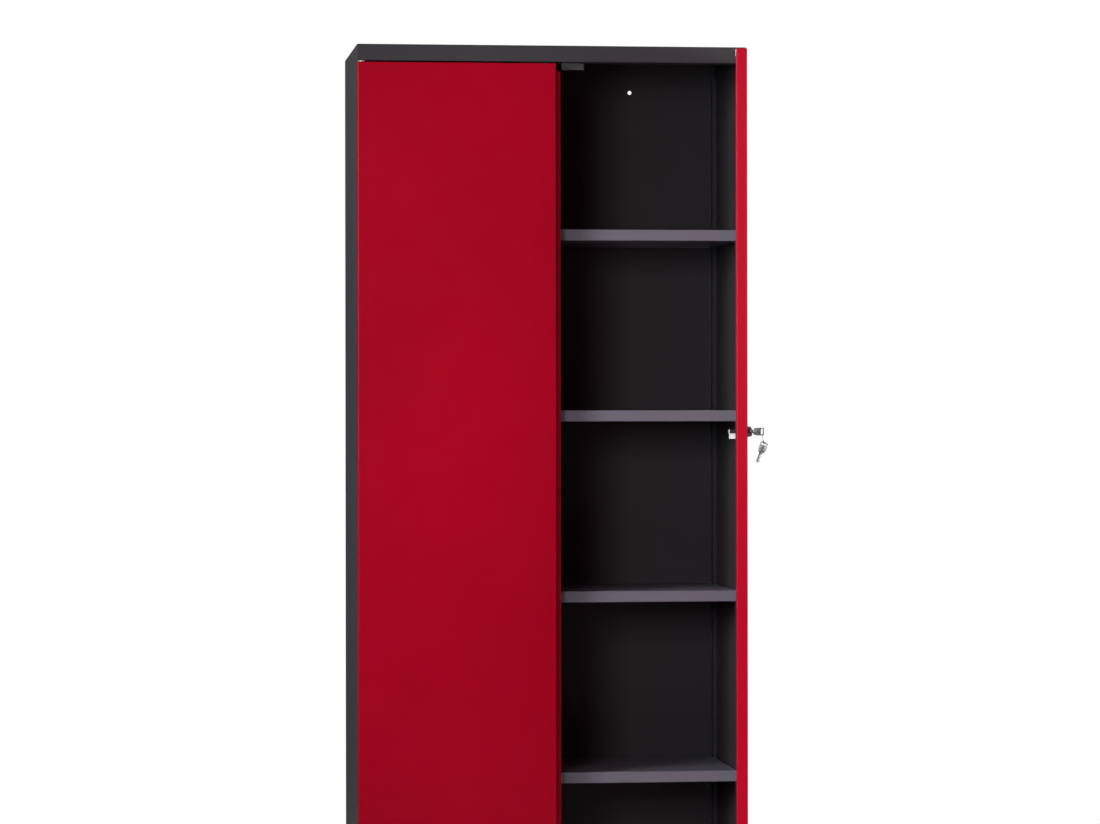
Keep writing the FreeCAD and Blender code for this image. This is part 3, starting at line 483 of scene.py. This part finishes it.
def mesh_of(name: str, grids: Sequence[Grid], turn: Array = UNTURNED, origin: Array = ORIGIN,
            sharp: float = 32.0, weld: float = 0.002 * MM) -> bpy.types.Object:
    """Makes one piece of several grids.

    Poles, where a row of points meets in one place, close to triangles when the doubles are merged.

    Args:
        name: the piece's name.
        grids: its surfaces, each closed or meeting the others.
        turn: matrix whose columns the grids' own x, y and z become.
        origin: the point that their own origin moves to.
        sharp: edges that turn by more than this many degrees stay sharp.
        weld: points nearer to each other than this are merged.

    Returns:
        The object, at the origin, its faces outward.
    """
    starts = np.cumsum([0] + [grid.points.shape[0] * grid.points.shape[1] for grid in grids])
    points = np.concatenate([(grid.points @ turn.T + origin).reshape(-1, 3) for grid in grids])
    faces = np.concatenate([grid.quads(start) for grid, start in zip(grids, starts)])
    mesh = bpy.data.meshes.new(name)
    mesh.from_pydata(points.tolist(), [], faces.tolist())
    shape = bmesh.new()
    shape.from_mesh(mesh)
    bmesh.ops.remove_doubles(shape, verts=shape.verts, dist=weld)
    bmesh.ops.recalc_face_normals(shape, faces=shape.faces)
    shape.to_mesh(mesh)
    shape.free()
    mesh.shade_smooth()
    mesh.set_sharp_from_angle(angle=math.radians(sharp))
    piece = bpy.data.objects.new(name, mesh)
    bpy.context.scene.collection.objects.link(piece)
    return piece


def clamped(value: Array) -> Array:
    """Values held between 0 and 1."""
    return np.clip(value, 0.0, 1.0)


def full_turn(steps: int) -> Array:
    """Column of evenly spaced angles, once round."""
    return np.linspace(0.0, TURN, steps, endpoint=False)[:, None]


def stacked(x: Array, y: Array, z: Array) -> Array:
    """Points of three coordinates, each repeated to fill the grid."""
    return np.stack(np.broadcast_arrays(x, y, z), axis=-1)


def about_y(angle: Array, along: Array, radius: Array) -> Array:
    """Points at an angle t, a distance along and a radius r from the Y axis: x = r cos t, z = r sin t."""
    return stacked(radius * np.cos(angle), along, radius * np.sin(angle))


def turned(profile: Profile, steps: int) -> Grid:
    """Profile of (distance along Y, radius) turned about the Y axis."""
    along, radius = np.array(profile).T
    return Grid(about_y(full_turn(steps), along, radius), around=True)


def both_sides(half: Array, y: Array, z: Array) -> Array:
    """Rows that run over one face at x = half, and back over the other at x = -half."""
    return np.concatenate((stacked(half, y, z), stacked(-half, y, z)[:, ::-1]), axis=1)


def boxy(direction: Array, power: float) -> Array:
    """Unit directions drawn from a circle towards a square: each part c becomes sign(c) times |c|^power."""
    return np.sign(direction) * np.abs(direction) ** power


def rounded(profile: Profile, bend: float, steps: int = 4) -> list[tuple[float, float]]:
    """Rounds an open profile's inner corners.

    Each arc is a quadratic curve from a, before the corner c, to b, after it: (1-t)^2 a + 2t(1-t) c + t^2 b.

    Args:
        profile: the corners.
        bend: how far from a corner its arc starts, at most a third of the shorter side there.
        steps: points along each arc.

    Returns:
        The profile with its arcs.
    """
    corners = np.array(profile)
    sides = np.linalg.norm(np.diff(corners, axis=0), axis=1)
    kept = [corners[:1]]
    t = np.linspace(0.0, 1.0, steps)[:, None]
    for index in range(1, len(corners) - 1):
        corner = corners[index]
        reach = min(bend, sides[index - 1] / 3.0, sides[index] / 3.0)
        before = corner + (corners[index - 1] - corner) * reach / sides[index - 1]
        after = corner + (corners[index + 1] - corner) * reach / sides[index]
        kept.append((1 - t) ** 2 * before + 2 * t * (1 - t) * corner + t**2 * after)
    kept.append(corners[-1:])
    return [tuple(point) for point in np.concatenate(kept)]


def axis_turn(axis: Array, degrees: float) -> Array:
    """Works out a turn by Rodrigues' formula: 1 + sin a K + (1 - cos a) K^2.

    Args:
        axis: the unit axis, whose cross product is K.
        degrees: the angle a.

    Returns:
        The matrix.
    """
    x, y, z = axis
    cross = np.array(((0.0, -z, y), (z, 0.0, -x), (-y, x, 0.0)))
    angle = math.radians(degrees)
    return np.eye(3) + math.sin(angle) * cross + (1 - math.cos(angle)) * cross @ cross


def joint_place(name: str) -> tuple[Array, Array]:
    """Position and axis of a joint at rest."""
    joint = next(joint for joint in frame["joints"] if joint["name"] == name)
    return np.array(joint["pos_m"], float), np.array(joint["axis"], float)


# Lock, keys and ring, in the open right door's own directions.

@dataclass
class LockSet:
    """Cam lock with its domed front, threaded barrel and chamfered nut.

    Places along the axis run inwards from the lock's joint. The crown is the bead round the plug and the
    dome, as places behind the front and radii. The dome's back is sunk into the door's skin, so that no gap
    shows. The nut's cone and its sharp edges are in degrees, and its land is a share of the half width
    across its flats.
    """

    wardrobe: Wardrobe
    face: float = -10.5 * MM
    sheet: float = 1.0 * MM
    proud: float = 8.5 * MM
    bore: float = 5.46 * MM
    mouth_depth: float = 0.6 * MM
    mouth_flare: float = 0.5 * MM
    crown: Profile = (
        (-0.02 * MM, 6.3 * MM),
        (0.25 * MM, 6.8 * MM),
        (0.2 * MM, 7.3 * MM),
        (1.4 * MM, 8.6 * MM),
        (3.4 * MM, 9.45 * MM),
        (5.9 * MM, 9.8 * MM),
    )
    dome: float = 10.0 * MM
    rim_height: float = 0.9 * MM
    rim_edge: float = 0.25 * MM
    rim_inset: float = 0.5 * MM
    sunk: float = 0.02 * MM
    bend: float = 0.5 * MM
    barrel: float = 7.5 * MM
    barrel_end: float = 7.5 * MM
    thread_pitch: float = 1.4 * MM
    thread_depth: float = 0.35 * MM
    thread_rows: int = 110
    steps: int = 72
    nut_across: float = 21.0 * MM
    nut_height: float = 4.0 * MM
    nut_land: float = 0.985
    nut_cone: float = 30.0
    nut_sharp: float = 20.0
    nut_steps: int = 96

    def axes(self) -> tuple[Array, Array]:
        """Works out where the lock stands.

        Returns:
            Directions of the open door at the lock, as columns, and the point where its axis starts.
        """
        origin, inward = joint_place("lock_turn")
        along = np.array((inward[1], -inward[0], 0.0))
        return np.column_stack((along, inward, (0.0, 0.0, 1.0))), origin

    def front(self) -> Grid:
        """Turns bore, bead, dome, rim and the barrel's root in one.

        Returns:
            The grid, which meets the thread at both ends.
        """
        front, back = self.face - self.proud, self.face + self.sunk
        profile = (
            (self.barrel_end, self.bore),
            (front + self.mouth_depth, self.bore),
            (front, self.bore + self.mouth_flare),
            *((front + behind, radius) for behind, radius in self.crown),
            (self.face - self.rim_height, self.dome),
            (self.face - self.rim_edge, self.dome),
            (back, self.dome - self.rim_inset),
            (back, self.barrel),
            (self.face + self.sheet, self.barrel),
        )
        return turned(rounded(profile, self.bend), self.steps)

    def thread(self) -> Grid:
        """Threads the barrel.

        Its radius falls by a triangle wave of y / pitch - angle / one turn, which fades out over a pitch at
        both ends, and its last column closes the inner end down to the bore.

        Returns:
            The grid.
        """
        angle = full_turn(self.steps)
        start = self.face + self.sheet
        along = np.linspace(start, self.barrel_end, self.thread_rows)
        phase = (along - start) / self.thread_pitch - angle / TURN
        wave = 2.0 * np.abs(phase - np.floor(phase + 0.5))
        ease = clamped(np.minimum(along - start, self.barrel_end - along) / self.thread_pitch)
        radius = self.barrel - self.thread_depth * wave * ease
        radius = np.hstack((radius, np.full_like(angle, self.bore)))
        return Grid(about_y(angle, np.append(along, self.barrel_end), radius), around=True)

    def nut(self) -> Grid:
        """Shapes the hexagon nut.

        The radius to its flats is half the width across them / cos a, with a from the middle of each flat. A
        cone cuts the corners at each end, and the flat land inside it stops just short of the flats.

        Returns:
            The grid, open at the bore.
        """
        angle = full_turn(self.nut_steps)
        flat, sector = self.nut_across / 2.0, TURN / 6.0
        hexagon = flat / np.cos(angle % sector - sector / 2.0)
        chamfer = (flat / math.cos(sector / 2.0) - flat) * math.tan(math.radians(self.nut_cone))
        bore, land = np.full_like(angle, self.barrel), np.full_like(angle, flat * self.nut_land)
        low = self.face + self.sheet
        high = low + self.nut_height
        along = np.array((low, low, low + chamfer, high - chamfer, high, high))
        return Grid(about_y(angle, along, np.hstack((bore, land, hexagon, hexagon, land, bore))), around=True)

    def build(self) -> None:
        """Makes the lock's pieces."""
        body = mesh_of("lock_front", (self.front(), self.thread()), *self.axes())
        self.wardrobe.place(body, "right_door", "lock_black", "lock_housing")
        nut = mesh_of("lock_hex_nut", (self.nut(),), *self.axes(), sharp=self.nut_sharp)
        self.wardrobe.place(nut, "right_door", "zinc_steel", "lock_nut")


@dataclass
class KeyBlank:
    """Flat key in the upright plane through the lock axis, y inwards from the bow's shoulder.

    The rows of bow and blade are shares of the way over one face. A power of 1 would make the outlines of bow
    and slot ellipses. edge_share, blade_edge and tip_share are the thickness left at the bow's edges, at the
    blade's edges and at the end of its tip. The blade starts blade_root inside the bow, and each of its sides
    lies blade_inset below the bow's. groove_share is the groove's half width as a share of the blade's
    height, and groove_fade the taper from which it deepens, to its full depth at twice that taper.
    """

    thickness: float = 2.0 * MM
    bow_length: float = 21.0 * MM
    bow_width: float = 14.5 * MM
    bow_power: float = 0.5
    bow_steps: int = 128
    bow_rows: tuple[float, ...] = (0.0, 0.02, 0.08, 0.2, 0.35, 0.5, 0.65, 0.8, 0.92, 0.98, 1.0)
    slot_length: float = 11.0 * MM
    slot_width: float = 3.4 * MM
    slot_edge: float = 2.6 * MM
    slot_power: float = 0.45
    edge_share: float = 0.72
    edge_power: int = 10
    rib_pitch: float = 1.9 * MM
    rib_height: float = 0.12 * MM
    rib_power: int = 4
    blade_length: float = 20.0 * MM
    blade_width: float = 6.0 * MM
    blade_root: float = 1.2 * MM
    blade_inset: float = 0.15 * MM
    blade_edge: float = 0.75
    blade_steps: int = 90
    blade_rows: tuple[float, ...] = (0.0, 0.05, 0.2, 0.36, 0.4, 0.5, 0.6, 0.64, 0.8, 0.95, 1.0)
    tip_share: float = 0.35
    groove_depth: float = 0.24 * MM
    groove_share: float = 0.14
    groove_fade: float = 0.4
    cuts: tuple[float, ...] = (0.4, 1.0, 0.6, 0.9)
    cut_depth: float = 1.6 * MM
    cut_pitch: float = 2.85 * MM
    cut_floor: float = 1.0 * MM
    cut_ramp: float = 0.9 * MM

    def bow(self) -> Grid:
        """Bow with a slot, a ring round the slot.

        One parameter runs round the slot and the outer edge together. The other, s, runs from the slot over
        one face to the edge, and back over the other face. The half thickness is the body's, thinned towards
        both edges by sqrt(1 - |2s - 1|^10), plus ribs: a cosine of the height z, faded by 1 - |2s - 1|^4.

        Returns:
            The closed grid.
        """
        angle = full_turn(self.bow_steps)
        direction = np.hstack((np.cos(angle), np.sin(angle)))
        middle = -self.bow_length + self.slot_edge + self.slot_width / 2.0
        inner = np.array((self.slot_width, self.slot_length)) / 2.0 * boxy(direction, self.slot_power)
        low = np.array((-self.bow_length - middle, -self.bow_width / 2.0))
        high = np.array((-middle, self.bow_width / 2.0))
        unit = boxy(direction, self.bow_power)
        outer = np.where(unit > 0.0, unit * high, -unit * low)
        over = np.array(self.bow_rows)
        flat = inner[:, None, :] + (outer - inner)[:, None, :] * over[None, :, None]
        y, z = flat[..., 0] + middle, flat[..., 1]
        from_middle = 2.0 * np.abs(over - 0.5)
        rounding = np.sqrt(clamped(1.0 - from_middle**self.edge_power))
        fade = clamped(1.0 - from_middle**self.rib_power)
        ribs = self.rib_height * 0.5 * (1.0 + np.cos(TURN * z / self.rib_pitch)) * fade
        body = self.thickness / 2.0 - self.rib_height
        half = body * (self.edge_share + (1.0 - self.edge_share) * rounding) + ribs
        return Grid(both_sides(half, y, z), around=True, across=True)

    def blade(self) -> Grid:
        """Blade: a section with a milled groove in each side, carried from inside the bow to the tip.

        The lower edge rises to the floor of each cut by straight ramps, and both edges close in to a point
        over the last half width. The groove's depth is the square root of a triangle over the height.

        Returns:
            The grid, closed round the section and by poles at both ends.
        """
        along = np.linspace(-self.blade_root, self.blade_length, self.blade_steps)[:, None]
        places = self.blade_length - self.blade_width - np.arange(len(self.cuts)) * self.cut_pitch
        near = clamped(1.0 - (np.abs(along - places) - self.cut_floor) / self.cut_ramp)
        rise = (near * np.array(self.cuts) * self.cut_depth).max(axis=1, keepdims=True)
        tip = clamped((self.blade_length - along) / (self.blade_width / 2.0))
        high = self.blade_width / 2.0 * tip
        low = np.minimum(rise * (tip >= 1.0) - high, 0.0)
        share = np.array(self.blade_rows)
        groove = np.sqrt(clamped(1.0 - np.abs(share - 0.5) / self.groove_share)) * self.groove_depth
        groove = groove * clamped((tip - self.groove_fade) / self.groove_fade)
        edge = np.ones_like(share)
        edge[[0, -1]] = self.blade_edge
        side = (self.thickness / 2.0 - self.blade_inset) * edge * clamped(self.tip_share + tip) - groove
        ring = both_sides(side, along, low + (high - low) * share)
        ends = (ring[:1], ring[-1:])
        start, end = (np.broadcast_to(row.mean(axis=1, keepdims=True), row.shape) for row in ends)
        return Grid(np.concatenate((start, ring, end)), across=True)


@dataclass
class KeySet:
    """Key in the lock, split ring and spare key.

    Leans are in degrees, out of hanging straight down. The wire's crossing is in radians of its turn.
    """

    wardrobe: Wardrobe
    lock: LockSet
    blank: KeyBlank
    bow_gap: float = 1.5 * MM
    ring_radius: float = 9.5 * MM
    ring_lean: float = -12.0
    spare_lean: float = 20.0
    spare_hold: float = 1.0 * MM
    wire_half_width: float = 0.62 * MM
    wire_half_thickness: float = 0.34 * MM
    wire_taper: float = 0.8 * MM
    wire_crossing: float = 0.5
    wire_steps: int = 220
    wire_rows: int = 12

    def split_ring(self) -> Grid:
        """Two turns of flattened wire about the Y axis, side by side, joined by one crossing.

        The path is radius (cos t, 0, sin t) for t over two turns. Its offset along the axis steps smoothly
        from one side to the other at the end of the first turn. The section is an ellipse that shrinks to a
        pole at each end of the wire.

        Returns:
            The closed grid.
        """
        t = np.linspace(0.0, 2.0 * TURN, self.wire_steps)[:, None]
        cross = clamped((t - TURN) / self.wire_crossing + 0.5)
        offset = self.wire_half_thickness * (2.0 * cross * cross * (3.0 - 2.0 * cross) - 1.0)
        from_end = np.minimum(t, 2.0 * TURN - t) * self.ring_radius
        taper = np.sqrt(1.0 - (1.0 - clamped(from_end / self.wire_taper)) ** 2)
        section = full_turn(self.wire_rows).T
        wide = self.wire_half_width * (taper * np.cos(section))
        thick = self.wire_half_thickness * (taper * np.sin(section))
        return Grid(about_y(t, thick + offset, self.ring_radius + wide), across=True)

    def key(self, name: str, turn: Array, origin: Array, body: str, node: str) -> None:
        """Makes one key.

        Args:
            name: the piece's name.
            turn: its directions, as columns.
            origin: where its bow's shoulder goes.
            body: the body that carries it.
            node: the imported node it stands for.
        """
        piece = mesh_of(name, (self.blank.bow(), self.blank.blade()), turn, origin)
        self.wardrobe.place(piece, body, "key_metal", node)

    def build(self) -> None:
        """Makes both keys and the ring."""
        turn, origin = self.lock.axes()
        shoulder = np.array((0.0, self.lock.face - self.lock.proud - self.bow_gap, 0.0))
        self.key("key_in_lock", turn, origin + turn @ shoulder, "lock_cylinder", "key")
        sideways = turn[:, 0]
        ring_turn = axis_turn(sideways, self.ring_lean) @ turn
        drop = ring_turn[:, 2] * self.ring_radius
        pivot, _ = joint_place("key_ring_swing")
        ring = mesh_of("split_ring", (self.split_ring(),), ring_turn, pivot - drop)
        self.wardrobe.place(ring, "ring", "ring_wire", "key_ring")
        hang = axis_turn(sideways, self.spare_lean) @ axis_turn(sideways, -90.0) @ turn
        held = -self.blank.bow_length + self.blank.slot_edge + self.spare_hold
        self.key("spare_key_on_ring", hang, pivot - 2.0 * drop - hang[:, 1] * held, "spare", "spare_key")


# Hinges and the cam's screw.

@dataclass
class Hinges:
    """Turned pivot pins in flanged bushes, at the head and the foot of each door."""

    wardrobe: Wardrobe
    pin: float = 3.0 * MM
    pin_chamfer: float = 0.6 * MM
    collar: float = 4.7 * MM
    collar_height: float = 4.0 * MM
    bore: float = 3.1 * MM
    sleeve: float = 4.3 * MM
    flange: float = 6.6 * MM
    flange_height: float = 1.5 * MM
    bend: float = 0.35 * MM
    steps: int = 48

    def pin_profile(self, length: float) -> Profile:
        """Outlines the chamfered shank and the collar.

        Args:
            length: from the tip to the collar's far end.

        Returns:
            Distances from the tip, and radii.
        """
        neck = length - self.collar_height
        return (
            (0.0, 0.0),
            (0.0, self.pin - self.pin_chamfer),
            (self.pin_chamfer, self.pin),
            (neck, self.pin),
            (neck, self.collar),
            (length, self.collar),
            (length, 0.0),
        )

    def bush_profile(self, length: float) -> Profile:
        """Outlines the bush, closed round its wall.

        Args:
            length: from the flange's face to the sleeve's end.

        Returns:
            Distances from the flange's face, and radii.
        """
        return (
            (0.0, self.bore),
            (0.0, self.flange),
            (self.flange_height, self.flange),
            (self.flange_height, self.sleeve),
            (length, self.sleeve),
            (length, self.bore),
            (0.0, self.bore),
        )

    def stand(self, name: str, node: str, profile: Callable[[float], Profile], axis: Array,
              up: float) -> bpy.types.Object:
        """Stands a turned piece on end, between the lowest and the highest point of a node.

        Args:
            name: the piece's name.
            node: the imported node.
            profile: gives the outline for a length.
            axis: x and y of the hinge line.
            up: 1.0 where the piece runs up from the node's foot, -1.0 where it runs down from its head.

        Returns:
            The piece.
        """
        low, high = (corner[2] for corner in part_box(node))
        upright = np.array(((1.0, 0.0, 0.0), (0.0, 0.0, 1.0), (0.0, up, 0.0)))
        grid = turned(rounded(profile(high - low), self.bend), self.steps)
        return mesh_of(name, (grid,), upright, np.array((*axis, low if up > 0.0 else high)))

    def build(self) -> None:
        """Makes a pin and a bush where each packed one stands."""
        for side in ("left", "right"):
            for level, up in (("upper", 1.0), ("lower", -1.0)):
                name, pin, bush = f"{side}_{level}", f"{side}_door_{level}_pin", f"{side}_{level}_bush"
                axis = np.mean(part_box(bush), axis=0)[:2]
                piece = self.stand(f"{name}_flanged_bush", bush, self.bush_profile, axis, up)
                self.wardrobe.place(piece, "cabinet", "bush_nylon", bush)
                piece = self.stand(f"{name}_turned_pin", pin, self.pin_profile, axis, -up)
                self.wardrobe.place(piece, f"{side}_door", "zinc_steel", pin)


@dataclass
class CamScrew:
    """Pan-head screw with a cross recess that holds the cam on the plug's tail."""

    wardrobe: Wardrobe
    lock: LockSet
    seat: float = 24.1 * MM
    head: float = 3.9 * MM
    head_height: float = 2.0 * MM
    head_edge: float = 0.2 * MM
    crown: float = 0.7 * MM
    shank: float = 1.4 * MM
    shank_length: float = 8.0 * MM
    recess_width: float = 0.9 * MM
    recess_reach: float = 2.2 * MM
    recess_depth: float = 1.1 * MM
    side_ramp: float = 0.12 * MM
    end_ramp: float = 0.3 * MM
    sharp: float = 40.0
    steps: int = 96
    rings: int = 24

    def surface(self) -> Grid:
        """Head and shank as rings about the axis.

        The crown is the head's height less crown r^2 / head^2. The recess lowers it where |x| or |z| is less
        than half the recess's width and r is less than its reach, with a straight ramp at each limit.

        Returns:
            The closed grid, with a pole at each end.
        """
        angle = full_turn(self.steps)
        radius = np.linspace(0.0, self.head, self.rings)
        near = np.minimum(np.abs(radius * np.cos(angle)), np.abs(radius * np.sin(angle)))
        arm = clamped((self.recess_width / 2.0 - near) / self.side_ramp + 0.5)
        within = clamped((self.recess_reach - radius) / self.end_ramp + 0.5)
        crown = self.head_height - self.crown * (radius / self.head) ** 2
        top = self.seat + crown - self.recess_depth * arm * within
        under = np.array((
            (self.seat + self.head_edge, self.head),
            (self.seat, self.head - self.head_edge),
            (self.seat, self.shank),
            (self.seat - self.shank_length, self.shank),
            (self.seat - self.shank_length, 0.0),
        ))
        along = np.hstack((top, np.tile(under[:, 0], (self.steps, 1))))
        return Grid(about_y(angle, along, np.append(radius, under[:, 1])), around=True)

    def build(self) -> None:
        """Makes the screw."""
        screw = mesh_of("cross_recess_screw", (self.surface(),), *self.lock.axes(), sharp=self.sharp)
        self.wardrobe.place(screw, "lock_cylinder", "zinc_steel", "cam_screw")


# Carried-over nodes.

@dataclass
class Carcass:
    """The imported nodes: each takes the finish of its slot, and keeps its shape unless it is replaced."""

    wardrobe: Wardrobe

    def build(self) -> None:
        """Dresses every node by the record's list of subparts."""
        for row in frame["record"]["subparts"]:
            self.wardrobe.dress(frame["nodes"][row["node"]], row["material_slot"])
            LOG.info("%s in %s", row["node"], row["material_slot"])


# Studio.

@dataclass(frozen=True)
class Lamp:
    """Square area lamp: its place, its aim, its side, its watts and its cone of light in degrees."""

    name: str
    place: Point
    aim: Point
    size: float
    power: float
    spread: float = 180.0

    def hang(self) -> None:
        """Adds the lamp, turned so that its own -Z looks at its aim."""
        data = bpy.data.lights.new(self.name, "AREA")
        data.size = self.size
        data.energy = self.power
        data.spread = math.radians(self.spread)
        lamp = bpy.data.objects.new(self.name, data)
        x, y, z = np.subtract(self.aim, self.place)
        yaw = math.atan2(y, x) - math.pi / 2.0
        pitch = math.atan2(z, math.hypot(x, y)) + math.pi / 2.0
        lamp.location = self.place
        lamp.rotation_euler = (pitch, 0.0, yaw)
        bpy.context.scene.collection.objects.link(lamp)


@dataclass
class Studio:
    """Pale floor, soft lamps, white surroundings and the camera."""

    camera_place: Point = (-0.8764, -7.6457, 1.1260)
    camera_turn: tuple[float, float, float] = (math.pi / 2.0 - 0.0015, 0.0012, -0.1162)
    lens: float = 126.05
    sensor: float = 36.0
    farthest: float = 100.0
    lamps: tuple[Lamp, ...] = (
        Lamp("left_lamp", (-4.6, -3.6, 2.4), (2.4, -0.2, 1.0), 2.0, 39.5, 52.0),
        Lamp("front_lamp", (-1.6, -4.5, 1.7), (1.2, 0.0, 1.0), 1.2, 9.0, 56.0),
        Lamp("right_lamp", (1.7, -1.9, 1.5), (0.1, -0.1, 1.0), 0.9, 30.0),
        Lamp("rear_lamp", (2.7, 2.9, 2.6), (0.0, 0.1, 0.9), 1.8, 110.0),
    )
    floor_radius: float = 2.75
    floor_rim: Span = (0.6, 0.98)
    floor_drop: float = 0.2 * MM
    floor_rings: int = 12
    floor_steps: int = 96
    floor_colour: Colour = (0.86, 0.86, 0.86)
    floor_rough: Span = (0.5, 0.62)
    floor_patch: float = 0.2
    floor_specular: float = 0.2
    fill: float = 0.1
    fill_tint: Colour = (0.97, 0.97, 1.0)
    shade_back: Span = (0.1, 0.7)
    shade_up: Span = (0.05, 0.35)
    shade_front: Span = (0.3, 0.85)
    shade_grey: Colour = (0.035, 0.035, 0.04)

    def camera(self) -> None:
        """Adds the scene's camera."""
        data = bpy.data.cameras.new("camera")
        data.lens = self.lens
        data.sensor_width = self.sensor
        data.clip_end = self.farthest
        camera = bpy.data.objects.new("camera", data)
        camera.location = self.camera_place
        camera.rotation_euler = self.camera_turn
        bpy.context.scene.collection.objects.link(camera)
        bpy.context.scene.camera = camera

    def floor(self) -> None:
        """Pale disc that keeps the shadow, and fades out by a smooth step of the distance near its rim."""
        radius = np.linspace(0.0, 1.0, self.floor_rings)[:, None] * self.floor_radius
        angle = full_turn(self.floor_steps).T
        points = stacked(radius * np.cos(angle), radius * np.sin(angle), np.array(-self.floor_drop))
        disc = mesh_of("floor", (Grid(points, across=True),))
        graph = Graph.material("pale_floor")
        x, y, _ = graph.parts(graph.place())
        rim = ((x * x + y * y) ** 0.5).step(*(share * self.floor_radius for share in self.floor_rim))
        rough = graph.noise(self.floor_patch, detail=3.0).between(*self.floor_rough)
        pale = graph.principled(
            Base_Color=self.floor_colour, Roughness=rough, Specular_IOR_Level=self.floor_specular,
        )
        clear = graph.value("ShaderNodeBsdfTransparent")
        disc.data.materials.append(graph.ends_in(graph.mixed(rim, pale, clear)))

    def surroundings(self) -> None:
        """White for the camera and in reflections, a softer fill for the rest.

        Reflections see white too, but for the unlit room in front, a smooth step of the direction's -y,
        and the cabinet's own shade low behind it, a smooth step of y times one less a smooth step of z.
        """
        graph = Graph(bpy.data.worlds.new("surroundings"))
        path = graph.node("ShaderNodeLightPath")
        rays = ("Camera", "Glossy", "Transmission")
        camera, glossy, through = (Signal(graph, path.outputs[f"Is {ray} Ray"]) for ray in rays)
        _, back, up = graph.parts(graph.value("ShaderNodeTexCoord", output="Generated"))
        low = back.step(*self.shade_back) * (1.0 - up.step(*self.shade_up))
        shade = low.larger((back * -1.0).step(*self.shade_front))
        fill = graph.background(self.fill_tint, self.fill)
        seen = graph.mixed(camera.larger(through), fill, graph.background(WHITE))
        gloss = graph.background(graph.blend(shade, WHITE, self.shade_grey))
        bpy.context.scene.world = graph.ends_in(graph.mixed(glossy, seen, gloss))

    def build(self) -> None:
        """Sets the whole stage."""
        self.camera()
        self.floor()
        self.surroundings()
        for lamp in self.lamps:
            lamp.hang()
        bpy.context.scene.view_settings.view_transform = "Standard"


def main() -> None:
    """Builds the classes in order."""
    logging.basicConfig(level=logging.INFO, format="%(name)s: %(message)s")
    wardrobe = Wardrobe()
    Carcass(wardrobe).build()
    lock = LockSet(wardrobe)
    lock.build()
    KeySet(wardrobe, lock, KeyBlank()).build()
    Hinges(wardrobe).build()
    CamScrew(wardrobe, lock).build()
    Studio().build()


if __name__ == "__main__":
    main()
